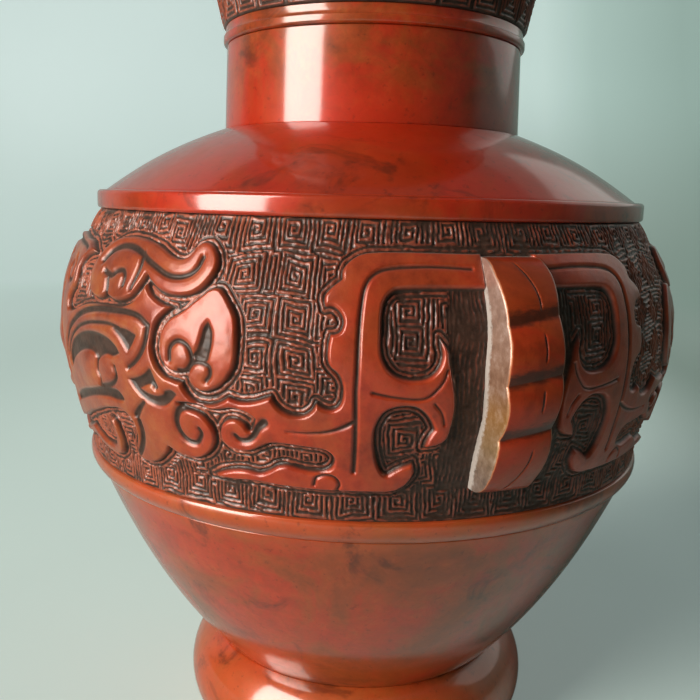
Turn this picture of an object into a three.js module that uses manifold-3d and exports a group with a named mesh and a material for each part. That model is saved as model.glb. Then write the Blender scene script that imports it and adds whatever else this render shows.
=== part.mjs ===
// A bronze flower vase with two lug handles, as it is put together: cast rings and shells that
// stack on spigots, a base plate let in from below, and two lugs riveted through the belly band.
// Millimetres, +Z up. The origin is the middle of the foot's underside, and the lugs lie along X.
import * as THREE from "three";
import { mergeVertices } from "three/addons/utils/BufferGeometryUtils.js";
import Module from "manifold-3d";

const wasm = await Module();
wasm.setup();

// Walls and fits: flat faces bear on each other, and round ones keep the clearance
const WALL = 3;
const CLEARANCE = 0.3;
const SEAT = 2.6;
const SPIGOT_WALL = 2.4;
const SPIGOT_LENGTH = 5;
const SIDES = 48;

// Outer radii at the seams, from the foot up
const FOOT_BASE_R = 45.8;
const WAIST_R = 43.6;
const BOWL_TOP_R = 75.6;
const BAND_FOOT_R = 77.5;
const BAND_TOP_R = 74;
const NECK_FOOT_R = 40.9;
const NECK_TOP_R = 40.35;
const COLLAR_FOOT_R = 41.5;
const COLLAR_TOP_R = 46.6;

// Foot: a round, bulging ring on a low upright rim
const FOOT_HEIGHT = 27.5;
const FOOT_BULGE_R = 51;
const FOOT_BULGE_Z = 14;
const FOOT_RIM = 4.5;
const FOOT_RIM_HEIGHT = 2.2;

// Base plate, let in from below against a ledge inside the foot
const PLATE_RECESS = 5;
const PLATE_THICKNESS = 2.5;
const PLATE_LEDGE_DEPTH = 2.5;
const PLATE_LEDGE_HEIGHT = 2;

// Bowl, from the waist to the lower bead. A slope is the change of radius with height.
const BOWL_HEIGHT = 54.6;
const BOWL_FOOT_SLOPE = 0.87;
const BOWL_TOP_SLOPE = 0.4;

// Lower bead, over the seam of bowl and band, and proud of both
const BEAD_HEIGHT = 5.8;
const BEAD_PROUD = 0.6;
const BEAD_FOOT_SLOPE = 1.2;
const BEAD_TOP_SLOPE = -0.3;

// Belly band, out to the face of its relief, and how far that stands out of the ground
const BAND_HEIGHT = 62.5;
const BAND_FOOT_SLOPE = 0.3;
const BAND_TOP_SLOPE = -0.86;
const RELIEF_PROUD = 1.2;

// Shoulder ledge: the square moulding over the band, and proud of it
const LEDGE_HEIGHT = 4.8;
const LEDGE_PROUD = 0.9;
const LEDGE_ROUNDING = 1.5;

// Shoulder: a low dome up to the neck, set back from the band's edge
const SHOULDER_HEIGHT = 17.1;
const SHOULDER_SETBACK = 1.4;
const SHOULDER_FOOT_R = BAND_TOP_R - SHOULDER_SETBACK;
const SHOULDER_FOOT_SLOPE = -1.35;
const SHOULDER_TOP_SLOPE = -2.8;

// Neck: a plain tube that tapers a little
const NECK_HEIGHT = 22.1;

// Neck ring, over the seam of neck and collar: a rounded lip, proud of the neck, and a hollow
// that falls back over it
const RING_HEIGHT = 4.6;
const RING_PROUD = 1;
const RING_LIP = 2;
const RING_ROUNDING = 0.8;
const RING_FALL = 0.65;

// Collar: the flaring band under the mouth
const COLLAR_HEIGHT = 18;
const COLLAR_FOOT_SLOPE = 0.2;
const COLLAR_TOP_SLOPE = 0.42;

// Mouth rim, proud of the collar
const RIM_HEIGHT = 5.4;
const RIM_PROUD = 2.6;
const RIM_FLAT = 2.4;
const RIM_ROUNDING = 1.2;
const RIM_FOOT_SLOPE = 1.8;

// Lug handles: three like lobes over a longer one, parted by notches across the outer face
const LUG_FOOT = 7.2;
const LUG_WIDTH = 12.2;
const LUG_REACH = 8.2;
const LUG_LOBE = 11.4;
const LUG_UPPER_LOBES = 3;
const LUG_FOOT_LOBE = 14.4;
const LUG_NOTCH = 1.8;
const LUG_FULLNESS = 0.42;
const LUG_OVERHANG = 0.6;

// Rivets behind two lobes of each lug, with their heads in flat seats inside the band
const RIVET_R = 1.6;
const RIVET_HEAD_R = 4.2;
const RIVET_HEAD = 1.6;
const RIVET_SEAT = 0.6;
const RIVET_BITE = 4.5;
const RIVET_SIDES = 16;

// Outer radii of the mouldings, which stand proud of what they cover
const BEAD_FOOT_R = BOWL_TOP_R + BEAD_PROUD;
const BEAD_TOP_R = BAND_FOOT_R + BEAD_PROUD;
const LEDGE_R = BAND_TOP_R + LEDGE_PROUD;
const RING_R = NECK_TOP_R + RING_PROUD;
const RIM_R = COLLAR_TOP_R + RIM_PROUD;

// Heights of the seams, from the table up
const PLATE_TOP_Z = PLATE_RECESS + PLATE_THICKNESS;
const WAIST_Z = FOOT_HEIGHT;
const BOWL_TOP_Z = WAIST_Z + BOWL_HEIGHT;
const BAND_FOOT_Z = BOWL_TOP_Z + BEAD_HEIGHT;
const BAND_TOP_Z = BAND_FOOT_Z + BAND_HEIGHT;
const LEDGE_TOP_Z = BAND_TOP_Z + LEDGE_HEIGHT;
const SHOULDER_TOP_Z = LEDGE_TOP_Z + SHOULDER_HEIGHT;
const NECK_TOP_Z = SHOULDER_TOP_Z + NECK_HEIGHT;
const RING_TOP_Z = NECK_TOP_Z + RING_HEIGHT;
const COLLAR_TOP_Z = RING_TOP_Z + COLLAR_HEIGHT;
const RIM_TOP_Z = COLLAR_TOP_Z + RIM_HEIGHT;
const LUG_FOOT_Z = BAND_FOOT_Z + LUG_FOOT;
const LUG_TOP_Z = LUG_FOOT_Z + LUG_FOOT_LOBE + LUG_UPPER_LOBES * LUG_LOBE;

// Points of a smooth profile line from one [radius, height] to another, with the slope at each.
function sweep(r0, z0, slope0, r1, z1, slope1, steps) {
  const third = (z1 - z0) / 3;
  const curve = new THREE.CubicBezierCurve(
    new THREE.Vector2(r0, z0),
    new THREE.Vector2(r0 + slope0 * third, z0 + third),
    new THREE.Vector2(r1 - slope1 * third, z1 - third),
    new THREE.Vector2(r1, z1),
  );
  return curve.getPoints(steps).map((p) => [p.x, p.y]);
}

// Points of a quarter round from one [radius, height] to another. It leaves the first one
// upright and reaches the second one level, or the other way round.
function quarter(r0, z0, r1, z1, uprightFirst, steps) {
  const points = [];
  for (let i = 0; i <= steps; i++) {
    const turn = (Math.PI / 2) * (i / steps);
    const early = Math.sin(turn);
    const late = 1 - Math.cos(turn);
    const r = r0 + (r1 - r0) * (uprightFirst ? late : early);
    const z = z0 + (z1 - z0) * (uprightFirst ? early : late);
    points.push([r, z]);
  }
  return points;
}

// Points of a circle's arc that leaves one [radius, height] upright and ends at another.
function bulge(r0, z0, r1, z1, steps) {
  const drop = r0 - r1;
  const rise = z1 - z0;
  const round = (drop * drop + rise * rise) / (2 * drop);
  const points = [];
  for (let i = 0; i <= steps; i++) {
    const turn = (2 * Math.atan(drop / rise) * i) / steps;
    points.push([r0 - round * (1 - Math.cos(turn)), z0 + round * Math.sin(turn)]);
  }
  return points;
}

// A profile line moved inwards by the wall, for the inside of a shell.
function inside(line) {
  return line.map(([r, z], i) => {
    const before = line[Math.max(i - 1, 0)];
    const after = line[Math.min(i + 1, line.length - 1)];
    const dr = after[0] - before[0];
    const dz = after[1] - before[1];
    const length = Math.hypot(dr, dz);
    return [r - (WALL * dz) / length, z + (WALL * dr) / length];
  });
}

// The radius of a profile line at a height.
function radiusAt(line, z) {
  const above = Math.max(1, line.findIndex((p) => p[1] >= z));
  const [r0, z0] = line[above - 1];
  const [r1, z1] = line[above];
  return r0 + ((r1 - r0) * (z - z0)) / (z1 - z0);
}

// Outer lines of the curved pieces
const footLine = [
  [FOOT_BASE_R, 0],
  ...bulge(FOOT_BULGE_R, FOOT_BULGE_Z, FOOT_BASE_R, FOOT_RIM_HEIGHT, 4).reverse(),
  ...bulge(FOOT_BULGE_R, FOOT_BULGE_Z, WAIST_R, WAIST_Z, 5).slice(1),
];
const bowlLine = sweep(WAIST_R, WAIST_Z, BOWL_FOOT_SLOPE, BOWL_TOP_R, BOWL_TOP_Z, BOWL_TOP_SLOPE, 9);
const bandLine = sweep(
  BAND_FOOT_R,
  BAND_FOOT_Z,
  BAND_FOOT_SLOPE,
  BAND_TOP_R,
  BAND_TOP_Z,
  BAND_TOP_SLOPE,
  8,
);
const bellyR = Math.max(...bandLine.map(([r]) => r));
const shoulderLine = sweep(
  SHOULDER_FOOT_R,
  LEDGE_TOP_Z,
  SHOULDER_FOOT_SLOPE,
  NECK_FOOT_R,
  SHOULDER_TOP_Z,
  SHOULDER_TOP_SLOPE,
  8,
);
const collarLine = sweep(
  COLLAR_FOOT_R,
  RING_TOP_Z,
  COLLAR_FOOT_SLOPE,
  COLLAR_TOP_R,
  COLLAR_TOP_Z,
  COLLAR_TOP_SLOPE,
  5,
);

// Spigots: the sleeve at a seam that centres one piece in the next. Its outside leaves the
// narrowest of the pieces round it their seat.
const spigotIn = (...radii) => Math.min(...radii) - SEAT - CLEARANCE;
const WAIST_SPIGOT_R = spigotIn(WAIST_R);
const BEAD_SPIGOT_R = spigotIn(BOWL_TOP_R, BEAD_FOOT_R, BAND_FOOT_R);
const LEDGE_SPIGOT_R = spigotIn(BAND_TOP_R, LEDGE_R, SHOULDER_FOOT_R);
const NECK_SPIGOT_R = spigotIn(NECK_FOOT_R);
const RING_SPIGOT_R = spigotIn(NECK_TOP_R, RING_R - RING_FALL, COLLAR_FOOT_R);
const RIM_SOCKET_Z = COLLAR_TOP_Z - SPIGOT_LENGTH - CLEARANCE;
const RIM_SPIGOT_R = spigotIn(radiusAt(collarLine, RIM_SOCKET_Z));

// Turns a closed profile of [radius, height] points about Y, whichever way round it is drawn.
function lathe(profile, sides) {
  const area = profile.reduce((sum, [r, z], i) => {
    const [nextR, nextZ] = profile[(i + 1) % profile.length];
    return sum + r * nextZ - nextR * z;
  }, 0);
  const loop = area > 0 ? [...profile] : [...profile].reverse();
  const points = [...loop, loop[0]].map(([r, z]) => new THREE.Vector2(r, z));
  return new THREE.LatheGeometry(points, sides);
}

// Turns a closed profile about the vase's own axis.
function revolve(profile) {
  return lathe(profile, SIDES).rotateX(Math.PI / 2);
}

// The cut and join solid of a closed three.js geometry.
function solid(geometry) {
  const bare = geometry.clone();
  bare.deleteAttribute("normal");
  bare.deleteAttribute("uv");
  const merged = mergeVertices(bare, 1e-4);
  const vertProperties = new Float32Array(merged.attributes.position.array);
  const triVerts = new Uint32Array(merged.index.array);
  return new wasm.Manifold(new wasm.Mesh({ numProp: 3, vertProperties, triVerts }));
}

// The three.js geometry of a solid.
function geometryOf(shape) {
  const mesh = shape.getMesh();
  const geometry = new THREE.BufferGeometry();
  geometry.setAttribute("position", new THREE.BufferAttribute(mesh.vertProperties, 3));
  geometry.setIndex(new THREE.BufferAttribute(mesh.triVerts, 1));
  geometry.computeVertexNormals();
  return geometry;
}

// What is left of a solid after some cuts.
function cutAll(shape, cuts) {
  return cuts.reduce((left, cut) => left.subtract(cut), shape);
}

// Foot ring: it stands on a flat rim, and the ledge inside it stops the base plate.
const FOOT_BORE_R = FOOT_BASE_R - FOOT_RIM;

function footRing() {
  const socketR = WAIST_SPIGOT_R + CLEARANCE;
  const socketFoot = WAIST_Z - SPIGOT_LENGTH - CLEARANCE;
  const ledgeR = FOOT_BORE_R - PLATE_LEDGE_DEPTH;
  const ledgeTop = PLATE_TOP_Z + PLATE_LEDGE_HEIGHT;
  const hollow = inside(footLine).filter(([, z]) => z > ledgeTop && z < socketFoot);
  return revolve([
    ...footLine,
    [socketR, WAIST_Z],
    [socketR, socketFoot],
    ...hollow.reverse(),
    [ledgeR, ledgeTop],
    [ledgeR, PLATE_TOP_Z],
    [FOOT_BORE_R, PLATE_TOP_Z],
    [FOOT_BORE_R, 0],
  ]);
}

// Base plate: a round disc under the ledge.
function basePlate() {
  const plateR = FOOT_BORE_R - CLEARANCE;
  return revolve([
    [0, PLATE_RECESS],
    [plateR, PLATE_RECESS],
    [plateR, PLATE_TOP_Z],
    [0, PLATE_TOP_Z],
  ]);
}

// Bowl, with a spigot down into the foot and one up through the bead into the band.
function bowl() {
  const footBoreR = WAIST_SPIGOT_R - SPIGOT_WALL;
  const topBoreR = BEAD_SPIGOT_R - SPIGOT_WALL;
  const hollow = inside(bowlLine).filter(([r]) => r > footBoreR && r < topBoreR);
  return revolve([
    [footBoreR, WAIST_Z - SPIGOT_LENGTH],
    [WAIST_SPIGOT_R, WAIST_Z - SPIGOT_LENGTH],
    [WAIST_SPIGOT_R, WAIST_Z],
    ...bowlLine,
    [BEAD_SPIGOT_R, BOWL_TOP_Z],
    [BEAD_SPIGOT_R, BAND_FOOT_Z + SPIGOT_LENGTH],
    [topBoreR, BAND_FOOT_Z + SPIGOT_LENGTH],
    ...hollow.reverse(),
    [footBoreR, WAIST_Z],
  ]);
}

// Lower bead: a soft half-round hoop.
function lowerBead() {
  const boreR = BEAD_SPIGOT_R + CLEARANCE;
  return revolve([
    [boreR, BOWL_TOP_Z],
    ...sweep(BEAD_FOOT_R, BOWL_TOP_Z, BEAD_FOOT_SLOPE, BEAD_TOP_R, BAND_FOOT_Z, BEAD_TOP_SLOPE, 4),
    [boreR, BAND_FOOT_Z],
  ]);
}

// Shoulder ledge: a square hoop with its two outer corners rounded.
function shoulderLedge() {
  const boreR = LEDGE_SPIGOT_R + CLEARANCE;
  const cornerR = LEDGE_R - LEDGE_ROUNDING;
  return revolve([
    [boreR, BAND_TOP_Z],
    ...quarter(cornerR, BAND_TOP_Z, LEDGE_R, BAND_TOP_Z + LEDGE_ROUNDING, false, 3),
    ...quarter(LEDGE_R, LEDGE_TOP_Z - LEDGE_ROUNDING, cornerR, LEDGE_TOP_Z, true, 3),
    [boreR, LEDGE_TOP_Z],
  ]);
}

// Shoulder, with a spigot down through the ledge into the band and a socket for the neck.
function shoulder() {
  const boreR = LEDGE_SPIGOT_R - SPIGOT_WALL;
  const socketR = NECK_SPIGOT_R + CLEARANCE;
  const hollow = inside(shoulderLine).filter(([r, z]) => r < boreR && z < SHOULDER_TOP_Z - WALL);
  return revolve([
    [boreR, BAND_TOP_Z - SPIGOT_LENGTH],
    [LEDGE_SPIGOT_R, BAND_TOP_Z - SPIGOT_LENGTH],
    [LEDGE_SPIGOT_R, LEDGE_TOP_Z],
    ...shoulderLine,
    [socketR, SHOULDER_TOP_Z],
    [socketR, SHOULDER_TOP_Z - WALL],
    ...hollow.reverse(),
    [boreR, LEDGE_TOP_Z - WALL],
  ]);
}

// Neck, with a spigot down into the shoulder and one up through the ring into the collar.
function neck() {
  const footBoreR = NECK_SPIGOT_R - SPIGOT_WALL;
  const topBoreR = RING_SPIGOT_R - SPIGOT_WALL;
  return revolve([
    [footBoreR, SHOULDER_TOP_Z - SPIGOT_LENGTH],
    [NECK_SPIGOT_R, SHOULDER_TOP_Z - SPIGOT_LENGTH],
    [NECK_SPIGOT_R, SHOULDER_TOP_Z],
    [NECK_FOOT_R, SHOULDER_TOP_Z],
    [NECK_TOP_R, NECK_TOP_Z],
    [RING_SPIGOT_R, NECK_TOP_Z],
    [RING_SPIGOT_R, RING_TOP_Z + SPIGOT_LENGTH],
    [topBoreR, RING_TOP_Z + SPIGOT_LENGTH],
    [topBoreR, NECK_TOP_Z],
    [footBoreR, SHOULDER_TOP_Z],
  ]);
}

// Neck ring: the lip at its foot, and the hollow curve that rises from the lip to the collar.
function neckRing() {
  const boreR = RING_SPIGOT_R + CLEARANCE;
  const lipTop = NECK_TOP_Z + RING_LIP;
  return revolve([
    [boreR, NECK_TOP_Z],
    ...quarter(RING_R - RING_ROUNDING, NECK_TOP_Z, RING_R, NECK_TOP_Z + RING_ROUNDING, false, 3),
    ...quarter(RING_R, lipTop, RING_R - RING_FALL, RING_TOP_Z, false, 3),
    [boreR, RING_TOP_Z],
  ]);
}

// Collar: a flaring wall over the neck's spigot, with a wider socket above for the rim's.
function collar() {
  const footBoreR = RING_SPIGOT_R + CLEARANCE;
  const topBoreR = RIM_SPIGOT_R + CLEARANCE;
  return revolve([
    [footBoreR, RING_TOP_Z],
    ...collarLine,
    [topBoreR, COLLAR_TOP_Z],
    [topBoreR, RIM_SOCKET_Z],
    [footBoreR, RING_TOP_Z + SPIGOT_LENGTH + CLEARANCE],
  ]);
}

// Mouth rim: a rolled lip with a narrow flat on top, and a spigot down into the collar.
function mouthRim() {
  const boreR = RIM_SPIGOT_R - SPIGOT_WALL;
  const crownR = RIM_R - RIM_ROUNDING;
  const lipFoot = RIM_TOP_Z - RIM_ROUNDING;
  return revolve([
    [boreR, COLLAR_TOP_Z - SPIGOT_LENGTH],
    [RIM_SPIGOT_R, COLLAR_TOP_Z - SPIGOT_LENGTH],
    [RIM_SPIGOT_R, COLLAR_TOP_Z],
    ...sweep(COLLAR_TOP_R, COLLAR_TOP_Z, RIM_FOOT_SLOPE, RIM_R, lipFoot, 0, 3),
    ...quarter(RIM_R, lipFoot, crownR, RIM_TOP_Z, true, 3).slice(1),
    ...quarter(boreR, COLLAR_TOP_Z, crownR - RIM_FLAT, RIM_TOP_Z, true, 4).reverse(),
  ]);
}

// A round bar along X, turned about the vase's axis.
function bar(radius, x0, x1, z, turn) {
  return new THREE.CylinderGeometry(radius, radius, x1 - x0, RIVET_SIDES)
    .rotateZ(-Math.PI / 2)
    .translate((x0 + x1) / 2, 0, z)
    .rotateZ(turn);
}

// The rivets stand behind the middles of the two lowest upper lobes.
const rivetHeights = [0.5, 1.5].map((lobes) => LUG_FOOT_Z + LUG_FOOT_LOBE + lobes * LUG_LOBE);
const seatX = (z) => radiusAt(bandLine, z) - WALL + RIVET_SEAT;
const tipX = (z) => radiusAt(bandLine, z) + RIVET_BITE;

// The cuts for the rivets of one side: flat seats for the heads, and holes for the shanks.
function rivetCuts(turn) {
  return rivetHeights.flatMap((z) => [
    solid(bar(RIVET_HEAD_R + CLEARANCE, seatX(z) - WALL, seatX(z), z, turn)),
    solid(bar(RIVET_R + CLEARANCE, seatX(z) - WALL, tipX(z) + CLEARANCE, z, turn)),
  ]);
}

// Rivet: a domed head and a plain shank, from inside the band into the lug.
function rivet(z) {
  const under = seatX(z) - CLEARANCE;
  const top = under - RIVET_HEAD;
  const dome = quarter(0, top, RIVET_HEAD_R, under - RIVET_HEAD / 3, false, 3);
  return lathe(
    [...dome, [RIVET_HEAD_R, under], [RIVET_R, under], [RIVET_R, tipX(z)], [0, tipX(z)]],
    RIVET_SIDES,
  )
    .rotateZ(-Math.PI / 2)
    .translate(0, 0, z);
}

// Outlines of the relief on a quarter of the band, from the middle of a lug to the middle of a
// mask. A point is [degrees round from the lug, hundredths of the band's height]. The face and
// the fang run a degree past the mask's middle, where they join their mirror images.
const dragon = [
  [3, 90], [19.3, 90], [24.7, 83], [26.9, 74], [24.5, 69.8], [26, 62], [24.2, 49.8], [24.5, 42.6],
  [30.8, 38.4], [33.8, 44.3], [40.4, 42.4], [44.8, 39.5], [52.3, 45.8], [52.3, 36.2], [39.9, 37.6],
  [36.5, 35.7], [37.4, 31.5], [39.5, 34.4], [41.7, 28.3], [40.4, 23.7], [34.2, 27.2], [26.6, 26.4],
  [25.3, 22], [33.6, 19.5], [45, 12.2], [16.9, 11.5], [13.7, 23], [17.6, 18.7], [19.3, 33],
  [16.8, 41.8], [11.3, 34.7], [12.6, 27.8], [8.4, 36], [9.8, 60.3], [11.2, 65], [12.5, 52.3],
  [16, 52], [18.3, 56.3], [18.9, 71.5], [17.6, 78], [3, 79],
];
const horn = [
  [56, 78.6], [49, 73], [43.2, 81], [46.7, 91.2], [50, 86], [60.6, 91.2], [66.8, 90.2],
  [71.8, 78], [69.5, 69.3], [61.6, 69.6], [58, 72.8],
];
const ear = [
  [43, 77.3], [38.7, 63.4], [39, 52.2], [44.4, 42.7], [46.8, 49], [49.4, 48.2], [51.8, 57],
  [49, 67.8],
];
const face = [
  [47.8, 45.4], [50.7, 46.2], [53.2, 56.2], [49.5, 69.8], [53.4, 72], [55.7, 77.3], [57.6, 70.2],
  [62, 66.7], [77.8, 62], [80.8, 64.2], [78.3, 76], [73.3, 84], [78.5, 88.3], [91, 91],
  [91, 12.2], [69, 27], [63, 29.3], [59.8, 21.8], [61.4, 15], [57, 11], [52.3, 19.7], [46, 18],
  [43.2, 27.7], [49, 38.2],
];
const fang = [
  [67.5, 24.8], [68, 13.8], [77.8, 16.5], [91, 9.4], [91, 5.6], [79, 11], [69.5, 7.8], [65, 14.6],
  [66, 24.2],
];
const eyeSocket = [
  [60.6, 51.2], [64, 55.8], [71, 55.8], [77.8, 50], [81.4, 40.2], [73, 48], [66.8, 47], [64, 50],
];
const underEye = [[61, 34.2], [64, 37.3], [83.3, 25.8], [83.6, 23.4], [62.7, 33.4]];

// The solids behind an outline, on both sides of both lugs. They reach from well inside the
// band's wall to well outside it, and are bent round the vase's axis.
function reliefBlocks(outline) {
  const nearR = 0.9 * Math.min(BAND_FOOT_R, BAND_TOP_R);
  const farR = 1.2 * bellyR;
  const mirrored = outline.map(([degrees, share]) => [-degrees, share]);
  return [outline, mirrored].flatMap((side) => {
    const shape = new THREE.Shape(side.map(([degrees, share]) => new THREE.Vector2(degrees, share)));
    const block = new THREE.ExtrudeGeometry(shape, { depth: farR - nearR, bevelEnabled: false });
    const places = block.attributes.position;
    for (let i = 0; i < places.count; i++) {
      const angle = THREE.MathUtils.degToRad(places.getX(i));
      const r = nearR + places.getZ(i);
      const z = BAND_FOOT_Z + (BAND_HEIGHT * places.getY(i)) / 100;
      places.setXYZ(i, r * Math.cos(angle), r * Math.sin(angle), z);
    }
    return [solid(block), solid(block.clone().rotateZ(Math.PI))];
  });
}

// The pad under a lug, as proud as the relief. The lug hangs a little over its edges.
function lugPad(turn) {
  const height = LUG_TOP_Z - LUG_FOOT_Z - 2 * LUG_OVERHANG;
  return solid(
    new THREE.BoxGeometry(bellyR, LUG_WIDTH - 2 * LUG_OVERHANG, height)
      .translate(bellyR / 2, 0, (LUG_FOOT_Z + LUG_TOP_Z) / 2)
      .rotateZ(turn),
  );
}

// What is cut away in front of the ground, between the raised forms and the lugs' pads.
function groundCut() {
  const last = bandLine.length - 1;
  const groundLine = bandLine.map(([r, z], i) => [i % last === 0 ? r : r - RELIEF_PROUD, z]);
  const ring = solid(revolve([...groundLine, [bellyR + WALL, BAND_TOP_Z], [bellyR + WALL, BAND_FOOT_Z]]));
  const raised = [dragon, horn, ear, face, fang].flatMap(reliefBlocks);
  const sunk = [eyeSocket, underEye].flatMap(reliefBlocks);
  const forms = cutAll(raised.reduce((joined, block) => joined.add(block)), sunk);
  return cutAll(ring, [forms, lugPad(0), lugPad(Math.PI)]);
}

// Belly band: the wall is cut back at its ends for the two spigots, carved, and bored for the
// rivets.
function bellyBand() {
  const footBoreR = BEAD_SPIGOT_R + CLEARANCE;
  const topBoreR = LEDGE_SPIGOT_R + CLEARANCE;
  const footBoreTop = BAND_FOOT_Z + SPIGOT_LENGTH + CLEARANCE;
  const topBoreFoot = BAND_TOP_Z - SPIGOT_LENGTH - CLEARANCE;
  const hollow = inside(bandLine).filter(([, z]) => z > footBoreTop && z < topBoreFoot);
  const wall = revolve([
    [footBoreR, BAND_FOOT_Z],
    ...bandLine,
    [topBoreR, BAND_TOP_Z],
    [topBoreR, topBoreFoot],
    ...hollow.reverse(),
    [footBoreR, footBoreTop],
  ]);
  return geometryOf(cutAll(solid(wall), [groundCut(), ...rivetCuts(0), ...rivetCuts(Math.PI)]));
}

// How far the lug stands out of the band at a height, in a lobe with these ends.
function lugReach(z, lobeFoot, lobeTop) {
  const swell = Math.sin((Math.PI * (z - LUG_FOOT_Z)) / (LUG_TOP_Z - LUG_FOOT_Z));
  const bulge = Math.sin((Math.PI * (z - lobeFoot)) / (lobeTop - lobeFoot));
  return (LUG_REACH - LUG_NOTCH * (1 - bulge)) * Math.max(swell, 0) ** LUG_FULLNESS;
}

// Lug for +X: its lobed side outline, as deep as the lug is wide, cut to the band's round.
function lug() {
  const stepsPerLobe = 6;
  const outline = [[radiusAt(bandLine, LUG_FOOT_Z) - WALL, LUG_FOOT_Z]];
  let lobeFoot = LUG_FOOT_Z;
  for (let lobe = 0; lobe <= LUG_UPPER_LOBES; lobe++) {
    const lobeTop = lobeFoot + (lobe === 0 ? LUG_FOOT_LOBE : LUG_LOBE);
    for (let i = lobe === 0 ? 0 : 1; i <= stepsPerLobe; i++) {
      const z = lobeFoot + ((lobeTop - lobeFoot) * i) / stepsPerLobe;
      outline.push([radiusAt(bandLine, z) + lugReach(z, lobeFoot, lobeTop), z]);
    }
    lobeFoot = lobeTop;
  }
  outline.push([radiusAt(bandLine, LUG_TOP_Z) - WALL, LUG_TOP_Z]);
  // The outline's x and y become X and Z, and its depth runs along Y.
  const shape = new THREE.Shape(outline.map(([x, z]) => new THREE.Vector2(x, z)));
  const blank = new THREE.ExtrudeGeometry(shape, { depth: LUG_WIDTH, bevelEnabled: false })
    .translate(0, 0, -LUG_WIDTH / 2)
    .rotateX(Math.PI / 2);
  const core = revolve([
    [0, BAND_FOOT_Z],
    ...bandLine.map(([r, z]) => [r + CLEARANCE, z]),
    [0, BAND_TOP_Z],
  ]);
  return geometryOf(cutAll(solid(blank), [solid(core), ...rivetCuts(0)]));
}

const metal = (color, roughness, metalness) =>
  new THREE.MeshStandardMaterial({ color, roughness, metalness });
const redPatina = () => metal(0xa83420, 0.35, 0.6);
const darkGround = () => metal(0x3a231c, 0.6, 0.5);
const bareBronze = () => metal(0x8a6238, 0.45, 0.8);

function add(group, name, geometry, material) {
  const mesh = new THREE.Mesh(geometry, material);
  mesh.name = name;
  group.add(mesh);
}

const vase = new THREE.Group();
add(vase, "foot_ring", footRing(), redPatina());
add(vase, "base_plate", basePlate(), bareBronze());
add(vase, "bowl", bowl(), redPatina());
add(vase, "lower_bead", lowerBead(), redPatina());
add(vase, "belly_band", bellyBand(), darkGround());
add(vase, "shoulder_ledge", shoulderLedge(), redPatina());
add(vase, "shoulder", shoulder(), redPatina());
add(vase, "neck", neck(), redPatina());
add(vase, "neck_ring", neckRing(), redPatina());
add(vase, "collar_band", collar(), darkGround());
add(vase, "mouth_rim", mouthRim(), redPatina());

for (const [side, turn] of [
  ["right", 0],
  ["left", Math.PI],
]) {
  const mounting = new THREE.Group();
  mounting.rotation.z = turn;
  add(mounting, `lug_${side}`, lug(), redPatina());
  rivetHeights.forEach((z, i) => {
    add(mounting, `rivet_${side}_${i === 0 ? "lower" : "upper"}`, rivet(z), bareBronze());
  });
  vase.add(mounting);
}

export default vase;
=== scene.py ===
# %% [markdown]
# # A bronze vase with two lug handles
# The vase is cast bronze with a red patina: a round foot, a deep bowl, a belly band in relief, a low
# shoulder, a plain neck, and a flaring collar under the mouth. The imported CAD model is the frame. It
# fixes where each piece sits, and this lesson gives the pieces their finer shapes and their finish.

# %% The frame
import math

import bpy
import numpy as np
from mathutils import Matrix, Vector


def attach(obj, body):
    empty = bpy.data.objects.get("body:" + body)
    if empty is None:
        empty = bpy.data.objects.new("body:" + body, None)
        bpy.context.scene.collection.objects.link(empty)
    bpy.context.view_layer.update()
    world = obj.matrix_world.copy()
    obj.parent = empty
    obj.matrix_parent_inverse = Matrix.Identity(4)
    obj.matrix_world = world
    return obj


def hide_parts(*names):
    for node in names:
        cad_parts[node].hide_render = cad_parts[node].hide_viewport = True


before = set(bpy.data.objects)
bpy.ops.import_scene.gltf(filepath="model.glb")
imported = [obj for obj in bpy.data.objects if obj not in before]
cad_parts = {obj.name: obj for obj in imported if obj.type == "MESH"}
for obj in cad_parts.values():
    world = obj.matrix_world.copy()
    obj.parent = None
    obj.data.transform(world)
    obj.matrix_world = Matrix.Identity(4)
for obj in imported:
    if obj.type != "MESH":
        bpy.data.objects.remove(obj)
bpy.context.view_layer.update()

MM = 0.001
print("CAD nodes:", ", ".join(sorted(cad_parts)))

# %% [markdown]
# ## The camera
# The photograph is a close-up from about 24 cm off the vase's axis, a little above the belly. The
# camera's place, its lens and its small tilt come from the curves of the mouldings: each round edge
# shows as an ellipse whose width and droop depend on the distance and the height.

# %% Camera
CAMERA_TURN = math.radians(68.8)
CAMERA_DISTANCE = 239.4 * MM
CAMERA_HEIGHT = 154.4 * MM
CAMERA_PITCH = math.radians(10.49)
CAMERA_YAW = math.radians(-1.04)
CAMERA_ROLL = math.radians(-1.53)
FOCAL_PIXELS = 816.3
FRAME_PIXELS = 700
FILM_WIDTH = 36


def camera_matrix():
    """World matrix of a camera that looks along -Z, from the pitch, the yaw and the roll."""
    ahead = Vector((
        math.sin(CAMERA_YAW) * math.cos(CAMERA_PITCH),
        math.cos(CAMERA_YAW) * math.cos(CAMERA_PITCH),
        -math.sin(CAMERA_PITCH),
    ))
    level = Vector((math.cos(CAMERA_YAW), -math.sin(CAMERA_YAW), 0))
    down = ahead.cross(level)
    right = math.cos(CAMERA_ROLL) * level + math.sin(CAMERA_ROLL) * down
    down = -math.sin(CAMERA_ROLL) * level + math.cos(CAMERA_ROLL) * down
    turn = Matrix.Rotation(CAMERA_TURN, 4, "Z")
    place = Matrix.Translation((0, -CAMERA_DISTANCE, CAMERA_HEIGHT))
    axes = Matrix((right, -down, -ahead)).transposed().to_4x4()
    return turn @ place @ axes


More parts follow.
